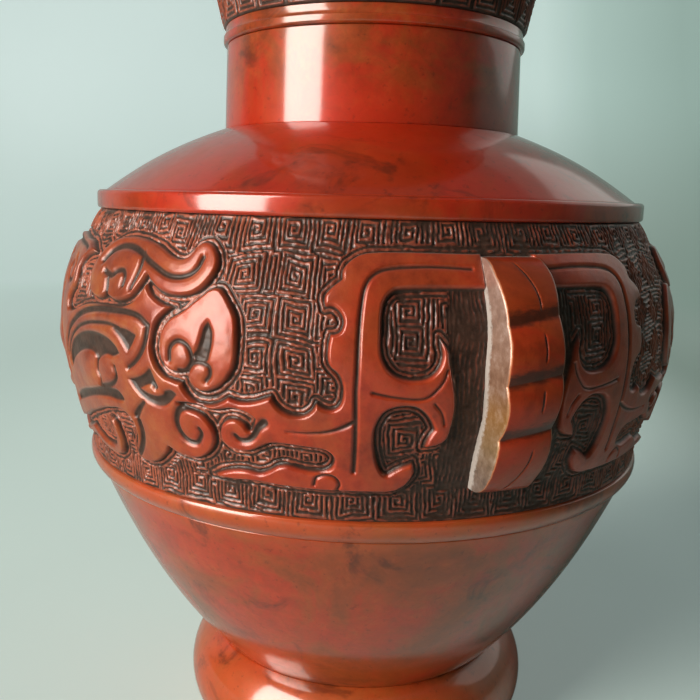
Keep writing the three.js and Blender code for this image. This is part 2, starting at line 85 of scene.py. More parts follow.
camera = bpy.data.objects.new("camera", bpy.data.cameras.new("camera"))
bpy.context.collection.objects.link(camera)
camera.data.sensor_width = FILM_WIDTH
camera.data.lens = FOCAL_PIXELS / FRAME_PIXELS * FILM_WIDTH
camera.data.clip_start = 0.01
camera.matrix_world = camera_matrix()
bpy.context.scene.camera = camera
print("camera at", [round(v, 4) for v in camera.matrix_world.translation], "lens", round(camera.data.lens, 2))

# %% [markdown]
# ## Colours and nodes
# Colours are written as sRGB hex values, as a paint chart gives them, and turned to the linear values
# that the renderer works in. One function adds a node with its settings and its links, for shaders
# and for geometry alike. A list of inputs fills the node's live sockets from the top down, as the node
# editor shows them: a noise texture takes its place, scale, detail, roughness, lacunarity and warp.

# %% Colour and node helpers


def linear(hex_colour):
    """A hex sRGB colour as linear RGBA."""
    steps = [int(hex_colour[i:i + 2], 16) / 255 for i in (1, 3, 5)]
    return tuple(c / 12.92 if c <= 0.04045 else ((c + 0.055) / 1.055) ** 2.4 for c in steps) + (1.0,)


def add(tree, kind, inputs=(), stops=(), **settings):
    """A new node with its settings. Its inputs come by name, or as a list for the live ones in order.

    An input is a number, a hex colour, a socket to link from, or a node, which gives its first live
    output. The stops are those of a colour ramp: (position, hex colour or grey value).
    """
    made = tree.nodes.new(kind)
    for name, value in settings.items():
        setattr(made, name, value)
    if not isinstance(inputs, dict):
        live = [number for number, socket in enumerate(made.inputs) if socket.enabled]
        inputs = dict(zip(live, inputs))
    for key, value in inputs.items():
        if isinstance(value, bpy.types.Node):
            value = next(socket for socket in value.outputs if socket.enabled)
        if isinstance(value, bpy.types.NodeSocket):
            tree.links.new(value, made.inputs[key])
        else:
            made.inputs[key].default_value = linear(value) if isinstance(value, str) else value
    if stops:
        elements = made.color_ramp.elements
        for _ in stops[2:]:
            elements.new(0.5)
        for element, (position, colour) in zip(elements, stops):
            element.position = position
            element.color = linear(colour) if isinstance(colour, str) else (colour, colour, colour, 1.0)
    return made


def new_material(name):
    """An empty node material, and the Object coordinates to start from."""
    made = bpy.data.materials.new(name)
    made.use_nodes = True
    tree = made.node_tree
    tree.nodes.clear()
    place = add(tree, "ShaderNodeTexCoord").outputs["Object"]
    return made, tree, place


print("a mid red, linear:", [round(c, 3) for c in linear("#A8361D")])

# %% [markdown]
# ## Floor, backdrop and lamps
# The vase stands on a plain pale teal sheet that curves up all round, as in a small photo studio. A
# tall window stands to the front left: it is the white streak on the neck, the ledge and the foot. The
# room in front of the vase is dim, so its red stays deep there, and a wide, weak sheet of light behind
# its right side keeps that side readable. The backdrop glows a little for the camera and for
# reflections, which makes it pale with no more light on the vase, and the vase's shadow stays.

# %% Floor and backdrop
FLOOR_FLAT = 1.4
FLOOR_SWEEP = 0.8
BACKDROP_SIDES = 96

# The photograph's right, and the way that the camera looks, both level.
side_axis = (math.cos(CAMERA_TURN), math.sin(CAMERA_TURN), 0.0)
view_axis = (-math.sin(CAMERA_TURN), math.cos(CAMERA_TURN), 0.0)


def backdrop_material():
    """Matt paper with painted light: pale on the camera's left, the window's side, and greyer and darker low
    on the right, a painted shadow.
    """
    made, tree, place = new_material("matt teal backdrop paper")
    across = add(tree, "ShaderNodeVectorMath", [place, side_axis], operation="DOT_PRODUCT")
    ahead = add(tree, "ShaderNodeVectorMath", [place, view_axis], operation="DOT_PRODUCT")
    far = add(tree, "ShaderNodeVectorMath", [place], operation="LENGTH")
    up = add(tree, "ShaderNodeSeparateXYZ", [place]).outputs["Z"]
    # Painted light across the sheet: paler on the window's side, on the camera's left, and darker to the
    # right.
    tint = add(tree, "ShaderNodeValToRGB", [add(tree, "ShaderNodeMapRange", [across, -0.8, 0.8])], stops=[
        (0.0, "#D3E2DF"), (0.27, "#CADAD7"), (0.79, "#C2D6D1"), (0.87, "#A8BFB8"), (1.0, "#93AAA2"),
    ])
    # The two low corners: the right one is a painted shadow of the vase on the floor, and the left one
    # darkens the floor a little. For each: where it starts and ends across, its share at the floor, and its
    # colour.
    for reach, amount, shade in (
        ((0.13, 0.32, 0.0, 1.0), 0.85, "#68796F"), ((-0.35, -0.05, 1.0, 0.0), 0.42, "#93A8A0"),
    ):
        corner = add(tree, "ShaderNodeMath", [
            add(tree, "ShaderNodeMapRange", [across, *reach], interpolation_type="SMOOTHSTEP"),
            add(tree, "ShaderNodeMapRange", [up, 0.0, 0.5, amount, 0.0], interpolation_type="SMOOTHSTEP"),
        ], operation="MULTIPLY")
        tint = add(tree, "ShaderNodeMix", [corner, tint, shade], data_type="RGBA")
    drift = add(tree, "ShaderNodeTexNoise", [place, 1.4, 1.0])
    drift = add(tree, "ShaderNodeValToRGB", [drift], stops=[(0.3, "#7F9A95"), (0.7, "#D5E4E1")])
    soft = add(tree, "ShaderNodeMix", [0.10, tint, drift], data_type="RGBA")
    paper = add(tree, "ShaderNodeBsdfDiffuse", [soft, 0.6])
    # The glow grows away from the vase, so that the shadow at its foot stays, and for reflections it
    # fades towards the dim room in front.
    path = add(tree, "ShaderNodeLightPath").outputs
    mirrored = add(tree, "ShaderNodeMath", [path["Is Glossy Ray"], path["Is Transmission Ray"]],
                   operation="MAXIMUM")
    round_right = add(tree, "ShaderNodeMath", [across, 0.25, ahead], operation="MULTIPLY_ADD")
    behind = add(tree, "ShaderNodeMapRange", [round_right, 0.1, 0.6])
    reflected = add(tree, "ShaderNodeMath", [mirrored, behind], operation="MULTIPLY")
    reflected = add(tree, "ShaderNodeMath", [reflected, 0.45], operation="MULTIPLY")
    seen = add(tree, "ShaderNodeMath", [path["Is Camera Ray"], reflected], operation="MAXIMUM")
    level = add(tree, "ShaderNodeMapRange", [far, 0.15, 1.3, 0.27, 0.80])
    strength = add(tree, "ShaderNodeMath", [seen, level], operation="MULTIPLY")
    glow = add(tree, "ShaderNodeEmission", [soft, strength])
    add(tree, "ShaderNodeOutputMaterial", [add(tree, "ShaderNodeAddShader", [paper, glow])])
    return made


def backdrop_sheet():
    """A floor disc whose far edge sweeps up all round, so that any view has the sheet behind it."""
    rings = [(0.5, 0.0), (1.0, 0.0), (FLOOR_FLAT, 0.0)]
    for turn in np.linspace(0.12, math.pi / 2, 12):
        rings.append((FLOOR_FLAT + FLOOR_SWEEP * math.sin(turn), FLOOR_SWEEP * (1 - math.cos(turn))))
    rings += [(FLOOR_FLAT + FLOOR_SWEEP, 1.6), (FLOOR_FLAT + FLOOR_SWEEP, 2.6)]
    angles = np.linspace(0, 2 * math.pi, BACKDROP_SIDES, endpoint=False)
    points = [(r * math.cos(a), r * math.sin(a), z) for r, z in rings for a in angles]
    points.append((0, 0, 0))
    faces = []
    for row in range(len(rings) - 1):
        for i in range(BACKDROP_SIDES):
            j = (i + 1) % BACKDROP_SIDES
            low, high = row * BACKDROP_SIDES, (row + 1) * BACKDROP_SIDES
            faces.append((low + i, high + i, high + j, low + j))
    faces += [(len(points) - 1, i, (i + 1) % BACKDROP_SIDES) for i in range(BACKDROP_SIDES)]
    sheet = bpy.data.meshes.new("backdrop")
    sheet.from_pydata(points, [], faces)
    sheet.polygons.foreach_set("use_smooth", [True] * len(faces))
    return sheet


backdrop = bpy.data.objects.new("backdrop", backdrop_sheet())
bpy.context.collection.objects.link(backdrop)
backdrop.data.materials.append(backdrop_material())
print("backdrop faces:", len(backdrop.data.polygons))

# %% Lamps and world
LAMP_AIM = Vector((0, 0, 0.12))


def lamp(name, turn, height, distance, size, power, colour):
    """An area lamp. turn is in degrees from the camera's side, positive to the photograph's right."""
    a = CAMERA_TURN + math.radians(turn)
    place = Vector((distance * math.sin(a), -distance * math.cos(a), height))
    data = bpy.data.lights.new(name, "AREA")
    data.shape = "RECTANGLE"
    data.size, data.size_y = size
    data.energy = power
    data.color = linear(colour)[:3]
    made = bpy.data.objects.new(name, data)
    facing = (LAMP_AIM - place).to_track_quat("-Z", "Y").to_matrix().to_4x4()
    made.matrix_world = Matrix.Translation(place) @ facing
    bpy.context.collection.objects.link(made)


lamp("window", turn=-52, height=0.36, distance=0.85, size=(0.46, 0.72), power=11.0, colour="#FFFAF0")
lamp("right_sheet", turn=120, height=1.0, distance=1.9, size=(2.4, 1.4), power=6.2, colour="#EFEAE4")

# The room lights the vase weakly, and where a view passes the backdrop's rim the camera sees a pale sky.
world = bpy.data.worlds.new("dim room")
world.use_nodes = True
room_tree = world.node_tree
room_tree.nodes.clear()
room = add(room_tree, "ShaderNodeBackground", ["#C4CFCC", 0.16])
sky = add(room_tree, "ShaderNodeBackground", ["#C9D8D5", 0.9])
seen_by_camera = add(room_tree, "ShaderNodeLightPath").outputs["Is Camera Ray"]
add(room_tree, "ShaderNodeOutputWorld", [add(room_tree, "ShaderNodeMixShader", [seen_by_camera, room, sky])])
bpy.context.scene.world = world
bpy.context.scene.view_settings.view_transform = "Standard"

# %% [markdown]
# ## The patinas
# The vase is bronze under a red patina, which a caster brushes on hot as iron and copper salts, then
# waxes and rubs. It gives a glossy brown-red skin with soft clouds of orange and near-black, and it
# wears through to a brighter orange on edges. The skin is an oxide, not bare metal, so most of its
# colour is diffuse. The wax over it is a thin clear coat. Each noise texture's scale is one over the
# size of its blotches, in millimetres.

# %% Red patina
VASE_HEIGHT = 222 * MM


def patina_colour(tree, place):
    """Red clouds over olive brown, mottled in patches of 6 mm, with dark stains and specks."""
    red = add(tree, "ShaderNodeTexNoise", [place, 1 / (30 * MM), 6.0, 0.62, 2.0, 0.8])
    red = add(tree, "ShaderNodeValToRGB", [red], stops=[
        (0.38, "#783816"), (0.46, "#A2421A"), (0.53, "#BC2C12"), (0.66, "#C62410"),
    ])
    mottle = add(tree, "ShaderNodeTexNoise", [place, 1 / (6 * MM), 6.0, 0.68, 2.0, 0.5])
    mottle = add(tree, "ShaderNodeValToRGB", [mottle], stops=[
        (0.32, "#56200C"), (0.46, "#963814"), (0.58, "#B0481C"), (0.70, "#B8662C"),
    ])
    # Shares by height: the foot and the lower bead are more orange. The bowl's small share of orange and
    # the shoulder's brighter, purer red are painted light: they lighten surfaces that get less of the window.
    up = add(tree, "ShaderNodeSeparateXYZ", [place]).outputs["Z"]
    height = add(tree, "ShaderNodeMapRange", [up, 0.0, VASE_HEIGHT])
    orange_and_painted_light = add(tree, "ShaderNodeValToRGB", [height], stops=[
        (0.0, 0.55), (0.11, 0.55), (0.14, 0.15), (0.35, 0.12), (0.375, 0.5), (0.395, 0.5), (0.42, 0.0),
    ])
    purer_red_and_painted_light = add(tree, "ShaderNodeValToRGB", [height], stops=[
        (0.66, 0.0), (0.70, 0.6), (0.78, 0.6), (0.84, 0.0),
    ])
    # Brown veils, dark stains and specks: blotch in mm, detail, roughness, warp, range, and the share.
    shares = []
    for size, detail, rough, warp, low, high, amount in (
        (2.4, 5.0, 0.7, 0.4, 0.45, 0.66, 0.30), (21, 5.0, 0.68, 1.0, 0.55, 0.70, 0.6),
        (1.8, 3.0, 0.6, 0.0, 0.60, 0.74, 0.4),
    ):
        patches = add(tree, "ShaderNodeTexNoise", [place, 1 / (size * MM), detail, rough, 2.0, warp])
        patches = add(tree, "ShaderNodeMapRange", [patches, low, high], interpolation_type="SMOOTHSTEP")
        shares.append(add(tree, "ShaderNodeMath", [patches, amount], operation="MULTIPLY"))
    veil, stain, speck = shares
    colour = red
    for factor, layer in (
        (0.34, mottle), (veil, "#74380F"), (orange_and_painted_light, "#C8602C"), (purer_red_and_painted_light, "#BE2806"), (stain, "#45190B"),
        (speck, "#3A150A"),
    ):
        colour = add(tree, "ShaderNodeMix", [factor, colour, layer], data_type="RGBA")
    return colour


def patina_surface(tree, colour, rough, bump, metal=0.12, wax=1.0, wax_rough=0.12, dust=0.0):
    """The oxide skin: mostly diffuse, with a little of the metal's own shine under the wax."""
    return add(tree, "ShaderNodeBsdfPrincipled", {
        "Base Color": colour, "Metallic": metal, "Roughness": rough, "Normal": bump,
        "Specular IOR Level": 0.2, "Coat Weight": wax, "Coat IOR": 1.7, "Coat Roughness": wax_rough,
        "Sheen Weight": dust, "Sheen Roughness": 0.5, "Sheen Tint": "#D8C8BC",
    })


def red_patina():
    """Smooth, turned and rubbed bronze skin with fine polishing marks round the axis."""
    made, tree, place = new_material("waxed red patina on turned bronze")
    colour = patina_colour(tree, place)
    stretched = add(tree, "ShaderNodeMapping", {"Vector": place, "Scale": (1, 1, 14)})
    marks = add(tree, "ShaderNodeTexNoise", [stretched, 1 / (6 * MM), 3.0, 0.6])
    rough = add(tree, "ShaderNodeTexNoise", [place, 1 / (12 * MM), 3.0, 0.6])
    rough = add(tree, "ShaderNodeMapRange", [rough, 0.3, 0.7, 0.30, 0.42], interpolation_type="SMOOTHSTEP")
    pits = add(tree, "ShaderNodeTexNoise", [place, 1 / (0.9 * MM), 1.0])
    pits = add(tree, "ShaderNodeMapRange", [pits, 0.70, 0.80], interpolation_type="SMOOTHSTEP")
    height = add(tree, "ShaderNodeMath", [marks, pits], operation="SUBTRACT")
    bump = add(tree, "ShaderNodeBump", {"Height": height, "Strength": 0.25, "Distance": 0.06 * MM})
    add(tree, "ShaderNodeOutputMaterial", [patina_surface(tree, colour, rough, bump)])
    return made


RED = red_patina()
print("material:", RED.name)

# %% Bare bronze of the hidden pieces


def tarnished_bronze():
    """Cast bronze that was never patinated: brown, dull and a little blotched."""
    made, tree, place = new_material("tarnished cast bronze")
    blotches = add(tree, "ShaderNodeTexNoise", [place, 1 / (6 * MM), 4.0])
    colour = add(tree, "ShaderNodeValToRGB", [blotches], stops=[
        (0.3, "#4A2E1B"), (0.6, "#7A4E2C"), (0.8, "#8C6436"),
    ])
    grain = add(tree, "ShaderNodeTexNoise", [place, 1 / (1.2 * MM), 3.0])
    bump = add(tree, "ShaderNodeBump", {"Height": grain, "Strength": 0.4, "Distance": 0.15 * MM})
    shader = add(tree, "ShaderNodeBsdfPrincipled", {
        "Base Color": colour, "Metallic": 0.85, "Roughness": 0.55, "Normal": bump,
    })
    add(tree, "ShaderNodeOutputMaterial", [shader])
    return made


BARE = tarnished_bronze()
for name in [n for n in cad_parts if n.startswith("rivet") or n == "base_plate"]:
    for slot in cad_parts[name].material_slots:
        slot.material = BARE
print("material:", BARE.name)

# %% [markdown]
# ## The turned pieces
# The foot, bowl, bead, ledge, shoulder, neck, ring and rim are each one profile turned about the
# vase's axis, as on a lathe. Geometry Nodes do the turning: a grid gets one column for each side and
# one row for each profile point, and each grid point moves to its profile point's radius and height.
# A small waver keeps the hand-finished bronze from being dead round. It could be done with the Spin
# tool too, but then the profile could not be changed later.

# %% Turning tree


def new_tree(name, sockets):
    """An empty Geometry Nodes tree with its named inputs and one geometry output, and its input node."""
    tree = bpy.data.node_groups.new(name, "GeometryNodeTree")
    for label, kind in sockets:
        tree.interface.new_socket(name=label, in_out="INPUT", socket_type="NodeSocket" + kind)
    tree.interface.new_socket(name="Piece", in_out="OUTPUT", socket_type="NodeSocketGeometry")
    return tree, add(tree, "NodeGroupInput").outputs


def turning_tree():
    """Turns the points of a profile about Z."""
    tree, given = new_tree("turned on the vase's axis", (
        ("Profile", "Geometry"), ("Sides", "Int"), ("Waver", "Float"), ("Finish", "Material"),
    ))
    count = add(tree, "GeometryNodeAttributeDomainSize", [given["Profile"]]).outputs["Point Count"]
    columns = add(tree, "ShaderNodeMath", [given["Sides"], 1.0], operation="ADD")
    grid = add(tree, "GeometryNodeMeshGrid", {"Vertices X": columns, "Vertices Y": count})
    index = add(tree, "GeometryNodeInputIndex")
    row = add(tree, "ShaderNodeMath", [index, count], operation="MODULO")
    column = add(tree, "ShaderNodeMath", [index, count], operation="DIVIDE")
    column = add(tree, "ShaderNodeMath", [column], operation="FLOOR")
    position = add(tree, "GeometryNodeInputPosition")
    point = add(tree, "GeometryNodeSampleIndex", [given["Profile"], position, row], data_type="FLOAT_VECTOR")
    parts = add(tree, "ShaderNodeSeparateXYZ", [point]).outputs
    turned_part = add(tree, "ShaderNodeMath", [column, given["Sides"]], operation="DIVIDE")
    turn = add(tree, "ShaderNodeMath", [turned_part, 2 * math.pi], operation="MULTIPLY")
    # The waver is read on a circle, so that it meets itself at the seam.
    circle = add(tree, "ShaderNodeCombineXYZ", [
        add(tree, "ShaderNodeMath", [turn], operation="COSINE"),
        add(tree, "ShaderNodeMath", [turn], operation="SINE"),
        add(tree, "ShaderNodeMath", [parts["Z"], 30.0], operation="MULTIPLY"),
    ])
    noise = add(tree, "ShaderNodeTexNoise", [circle, 1.6, 1.0])
    swing = add(tree, "ShaderNodeMath", [noise, 0.5], operation="SUBTRACT")
    waver = add(tree, "ShaderNodeMath", [swing, given["Waver"]], operation="MULTIPLY")
    radius = add(tree, "ShaderNodeMath", [parts["X"], waver], operation="ADD")
    flat = add(tree, "ShaderNodeVectorMath", [circle, (1, 1, 0)], operation="MULTIPLY")
    around = add(tree, "ShaderNodeVectorMath", [flat, radius], operation="SCALE")
    lift = add(tree, "ShaderNodeCombineXYZ", {"Z": parts["Z"]})
    place = add(tree, "ShaderNodeVectorMath", [around, lift], operation="ADD")
    moved = add(tree, "GeometryNodeSetPosition", {"Geometry": grid, "Position": place})
    closed = add(tree, "GeometryNodeMergeByDistance", {"Geometry": moved, "Distance": 1e-6})
    smooth = add(tree, "GeometryNodeSetShadeSmooth", [closed])
    whole = add(tree, "GeometryNodeRealizeInstances", [smooth])
    done = add(tree, "GeometryNodeSetMaterial", {"Geometry": whole, "Material": given["Finish"]})
    add(tree, "NodeGroupOutput", [done])
    return tree


def outward(mesh):
    """Turns a closed mesh's faces outwards, by the sign of its volume."""
    mesh.calc_loop_triangles()
    points = np.empty(len(mesh.vertices) * 3)
    mesh.vertices.foreach_get("co", points)
    corners = np.empty(len(mesh.loop_triangles) * 3, int)
    mesh.loop_triangles.foreach_get("vertices", corners)
    a, b, c = points.reshape(-1, 3)[corners.reshape(-1, 3)].transpose(1, 0, 2)
    if (a * np.cross(b, c)).sum() < 0:
        mesh.flip_normals()


def bake(name, mesh, tree, values):
    """Runs a Geometry Nodes tree on a mesh and keeps the result as a plain mesh."""
    bench = bpy.data.objects.new(name + "_bench", mesh)
    bpy.context.collection.objects.link(bench)
    step = bench.modifiers.new("make", "NODES")
    step.node_group = tree
    for item in tree.interface.items_tree:
        if item.in_out == "INPUT" and item.name in values:
            step[item.identifier] = values[item.name]
    graph = bpy.context.evaluated_depsgraph_get()
    made = bpy.data.meshes.new_from_object(bench.evaluated_get(graph), preserve_all_data_layers=True,
                                           depsgraph=graph)
    bpy.data.objects.remove(bench)
    made.name = name
    return made


def place_piece(name, mesh, node):
    """A closed mesh as a piece that stands for a CAD node and rides on the vase."""
    outward(mesh)
    piece = bpy.data.objects.new(name, mesh)
    bpy.context.collection.objects.link(piece)
    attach(piece, "root")
    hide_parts(node)
    print(name, "triangles:", sum(len(face.vertices) - 2 for face in mesh.polygons))


TURNING = turning_tree()
print("nodes in the turning tree:", len(TURNING.nodes))

# %% Profile helpers
# Lengths are in millimetres. A run longer than LONGEST_STEP gets points between.
SIDES = 288
WAVER = 0.10
LONGEST_STEP = 3
SOFT_BEND = math.radians(25)
CORNER_STEPS = 4


def sweep(r0, z0, slope0, r1, z1, slope1, steps):
    """A smooth line of (radius, height) between two points, with the change of radius with height at each."""
    third = (z1 - z0) / 3
    a, b, c, d = np.array([
        (r0, z0), (r0 + slope0 * third, z0 + third), (r1 - slope1 * third, z1 - third), (r1, z1),
    ])
    t = np.linspace(0, 1, steps + 1)[:, None]
    return (1 - t) ** 3 * a + 3 * (1 - t) ** 2 * t * b + 3 * (1 - t) * t ** 2 * c + t ** 3 * d


def arc(r0, z0, r1, z1, steps):
    """Points of a circle's arc that leaves the first point upright and ends at the other."""
    drop, rise = r0 - r1, z1 - z0
    size = (drop ** 2 + rise ** 2) / (2 * drop)
    turns = np.linspace(0, 2 * math.atan(drop / rise), steps)
    return np.column_stack([r0 - size * (1 - np.cos(turns)), z0 + size * np.sin(turns)])


def offset(line, distance):
    """The line moved inwards, for the inside of a wall."""
    line = np.array(line, float)
    along = np.gradient(line, axis=0)
    along /= np.hypot(*along.T)[:, None]
    return line + distance * np.column_stack([-along[:, 1], along[:, 0]])


def round_off(line, radius):
    """The line with each sharp corner replaced by a short curve. Soft bends stay."""
    out = [line[0]]
    for before, here, after in zip(line[:-2], line[1:-1], line[2:]):
        a, b = np.subtract(here, before), np.subtract(after, here)
        la, lb = np.hypot(*a), np.hypot(*b)
        bend = abs(math.atan2(a[0] * b[1] - a[1] * b[0], a @ b))
        if bend < SOFT_BEND:
            out.append(here)
            continue
        # The curve takes less than half of each side, so that two corners never meet.
        cut = min(radius * math.tan(bend / 2), la / 2.2, lb / 2.2)
        p, q = here - a / la * cut, here + b / lb * cut
        for t in np.linspace(0, 1, CORNER_STEPS + 1):
            out.append((1 - t) ** 2 * p + 2 * (1 - t) * t * np.array(here) + t ** 2 * q)
    out.append(line[-1])
    return np.array(out)


def turned(name, node, outer, inner, rounding=0.3):
    """A closed ring: the outer line from the bottom up, then the inner line from the top down."""
    loop = np.array(list(outer) + list(inner), float)
    start = (loop[0] + loop[-1]) / 2
    line = round_off(np.vstack([start, loop, start]), rounding)
    # Long straight runs get points between, so that the waver and the shading stay smooth.
    dense = [line[0]]
    for here in line[1:]:
        first = dense[-1]
        parts = max(1, int(np.hypot(*(here - first)) / LONGEST_STEP))
        dense += [first + (here - first) * k / parts for k in range(1, parts + 1)]
    profile = bpy.data.meshes.new(name + "_profile")
    profile.from_pydata([(r * MM, 0, z * MM) for r, z in dense], [], [])
    made = bake(name, profile, TURNING, {"Sides": SIDES, "Waver": WAVER * MM, "Finish": RED})
    place_piece(name, made, node)


print("points round a square corner:", len(round_off(np.array([(0, 0), (1, 0), (1, 1)]), 0.3)))

# %% [markdown]
# ## Foot, bowl and bead
# The foot is a round, bulging ring with a crease at the waist where the bowl is soldered on. The bowl
# opens from it in one full curve up to a soft bead. Their lines repeat the CAD's, with more points,
# and every size is in millimetres.

# %% Foot, bowl and bead
WALL = 3.0
FOOT_TOP = 27.5
FOOT_BULGE = (51, 14)

foot_line = np.vstack([
    [(45.8, 0)], arc(*FOOT_BULGE, 45.8, 2.2, 13)[::-1], arc(*FOOT_BULGE, 43.6, FOOT_TOP, 17)[1:],
])
foot_hollow = [p for p in offset(foot_line, WALL)[::-1] if 10 < p[1] < 22]
plate_seat = [(38.8, 9.5), (38.8, 7.5), (41.3, 7.5), (41.3, 0)]
turned("foot", "foot_ring", foot_line, [(41.0, 27.3), (41.0, 22.2)] + foot_hollow + plate_seat)
bowl_line = sweep(43.6, 27.7, 0.87, 75.6, 82.1, 0.4, 44)
turned("bowl", "bowl", [(43.1, 27.2)] + list(bowl_line), list(offset(bowl_line, WALL)[::-1]) + [(38.3, 27.2)])
bead_line = sweep(76.2, 82.5, 1.2, 78.1, 87.6, -0.3, 12)
turned("lower_bead", "lower_bead", [(75.3, 82.1)] + list(bead_line) + [(77.2, 87.9)],
       [(73, 87.9), (73, 82.1)])

# %% [markdown]
# ## Ledge, shoulder, neck and ring
# A square moulding overhangs the relief and throws a dark line on it. The shoulder is a low dome, and
# a sharp dark seam shows where the neck is soldered into it. A narrow glossy ring ends the neck.

# %% Ledge, shoulder, neck and ring
turned("shoulder_ledge", "shoulder_ledge", [(73, 150.5), (74.9, 150.5), (74.9, 155.2), (72.4, 155.2)],
       [(70.2, 155.2), (70.2, 150.5)], rounding=1.4)
shoulder_line = sweep(72.6, 155.2, -1.35, 40.9, 172.3, -2.8, 32)
turned("shoulder", "shoulder", shoulder_line, offset(shoulder_line, WALL)[::-1][1:])
spigot = [(40.1, 194.4), (37.45, 194.4), (37.45, 204)]
turned("neck", "neck", [(40.2, 171.6), (40.9, 172.3), (40.35, 194.2)] + spigot,
       [(35.05, 204), (35.05, 171.6)])
lip_turns, fall_turns = np.linspace(math.pi / 2, 0, 6), np.linspace(0, math.pi / 2, 8)
ring_lip = [(41.35 - 0.8 * (1 - math.cos(a)), 195.2 - 0.8 * math.sin(a)) for a in lip_turns]
ring_fall = [(41.35 - 0.65 * math.sin(a), 199 - 2.6 * math.cos(a)) for a in fall_turns]
turned("neck_ring", "neck_ring", [(40.2, 194.4)] + ring_lip + ring_fall, [(37.75, 199), (37.75, 194.4)],
       rounding=0.15)

# %% [markdown]
# ## Mouth rim
# The picture ends below the mouth, so the rim is a guess from the type: a rolled lip, wider than the
# collar, with a narrow flat on top and a rounded inside.

# %% Mouth rim
rim_line = np.vstack([sweep(46.6, 217, 1.8, 49.2, 221.2, 0, 10), [(48.0, 222.4), (45.6, 222.4)]])
rim_turns = np.linspace(0.1, math.pi / 2, 10)
rim_inside = [(45.6 - 9.6 * (1 - math.cos(a)), 222.4 - 5.4 * math.sin(a)) for a in rim_turns]
turned("mouth_rim", "mouth_rim", rim_line, rim_inside + [(36, 212.2), (38.6, 212.2)], rounding=0.8)

# %% [markdown]
# ## The relief: outlines
# The belly band carries two beast masks and four dragons on a fret ground. One quarter, from the
# middle of a lug to the middle of a mask, holds the whole design, and the rest are its mirrored
# copies. The forms are drawn as outlines on the unrolled band: the first number is millimetres round
# from the lug's middle, at the radius of 83.2 mm, and the second is the height over the table. A point
# that is listed twice is a corner, and between corners a smooth line runs through the points.

# %% Outlines of the raised forms
DRAGON = [
    (6, 144.3), (6, 144.3), (12, 144.3), (20, 144.4), (28, 144.3), (32, 143.8), (34.5, 142.4), (35.9, 140.6),
    (35.9, 138.9), (35.9, 138.9), (37.6, 137.6), (39.0, 136.0), (39.2, 134.6), (38.9, 133.3), (38.9, 133.3),
    (37.2, 133.4), (35.8, 132.3), (35.2, 130.8), (35.6, 129.3), (36.6, 128.7), (37.6, 128.6), (37.6, 128.6),
    (38.0, 126.5), (38.1, 124.5), (37.9, 122.8), (37.2, 121.7), (37.2, 121.7), (35.7, 120.4), (35.0, 118.3),
    (35.0, 116.0), (35.7, 114.3), (37.0, 113.6), (38.5, 113.8), (40.1, 114.8), (40.1, 114.8), (40.9, 113.3),
    (42.5, 112.1), (44.8, 111.9), (47.0, 112.8), (48.4, 114.3), (49.1, 115.6), (49.1, 115.6), (51.0, 114.8),
    (53.5, 114.0), (56.0, 113.8), (58.6, 114.4), (58.6, 114.4), (60.2, 113.4), (62.5, 112.4), (65.0, 112.2),
    (67.2, 113.0), (68.8, 114.6), (69.6, 116.2), (69.6, 116.2), (76.0, 116.5), (76.0, 110.5), (73.5, 110.6),
    (70.5, 111.4), (66.0, 111.4), (62.0, 110.9), (58.0, 111.7), (55.0, 111.3), (53.0, 110.2), (53.0, 110.2),
    (53.6, 108.6), (54.3, 107.6), (55.4, 109.0), (57.4, 109.8), (59.6, 109.2), (61.1, 107.6), (61.4, 105.6),
    (60.6, 103.8), (58.9, 102.7), (56.5, 102.3), (54.0, 102.8), (51.8, 103.9), (49.6, 104.9), (46.0, 105.0),
    (42.0, 104.7), (38.6, 104.4), (36.9, 103.2), (36.7, 101.7), (37.8, 100.3), (40.4, 99.6), (43.5, 99.9),
    (46.5, 100.5), (48.8, 100.1), (50.8, 98.9), (53.0, 98.0), (56.5, 98.3), (60.0, 97.8), (63.0, 96.8),
    (65.4, 95.5), (65.4, 95.5), (60.0, 95.2), (54.0, 95.5), (47.0, 95.1), (38.0, 94.9), (29.0, 95.0),
    (24.5, 95.1), (22.0, 96.0), (20.3, 97.6), (19.3, 99.8), (19.9, 102.2), (19.9, 102.2), (22.2, 101.4),
    (24.2, 100.3), (25.6, 99.6), (27.0, 101.4), (27.9, 105.0), (28.1, 108.6), (27.6, 110.9), (26.4, 112.9),
    (24.4, 114.0), (21.5, 114.3), (19.3, 113.6), (17.5, 111.7), (16.4, 109.6), (16.4, 109.6), (17.4, 108.0),
    (18.3, 105.3), (18.3, 105.3), (15.2, 105.9), (13.2, 107.4), (12.5, 110.5), (12.2, 113.8), (12.5, 117.0),
    (13.1, 120.0), (13.8, 123.0), (14.2, 125.6), (15.3, 127.4), (16.3, 128.6), (16.3, 128.6), (16.0, 126.4),
    (15.8, 124.4), (16.5, 122.2), (18.2, 120.6), (20.5, 120.1), (23.2, 120.4), (25.2, 121.4), (26.6, 123.1),
    (27.4, 125.4), (27.5, 129.0), (27.4, 132.6), (26.9, 134.9), (25.6, 136.4), (23.5, 137.0), (16.0, 137.2),
    (6.0, 137.2), (6.0, 137.2),
]
HORN = [
    (81.4, 137.0), (81.4, 137.0), (79.5, 135.6), (77.0, 134.4), (74.0, 133.7), (71.0, 133.6), (68.0, 134.1),
    (65.6, 135.4), (63.8, 137.2), (62.8, 139.3), (62.9, 141.2), (64.0, 143.0), (65.8, 144.4), (67.8, 144.9),
    (69.3, 144.2), (70.3, 142.7), (71.5, 141.6), (73.3, 141.2), (75.8, 141.7), (79.0, 142.9), (83.0, 144.1),
    (88.0, 144.9), (93.0, 145.0), (97.0, 144.3), (100.5, 142.7), (103.0, 140.2), (104.2, 137.5),
    (104.2, 134.8), (103.0, 132.6), (101.0, 131.2), (98.5, 130.7), (96.3, 131.0), (94.8, 131.9),
    (94.8, 131.9), (92.5, 131.2), (89.5, 130.9), (86.5, 131.6), (84.3, 132.9), (82.8, 134.7), (81.9, 136.0),
]
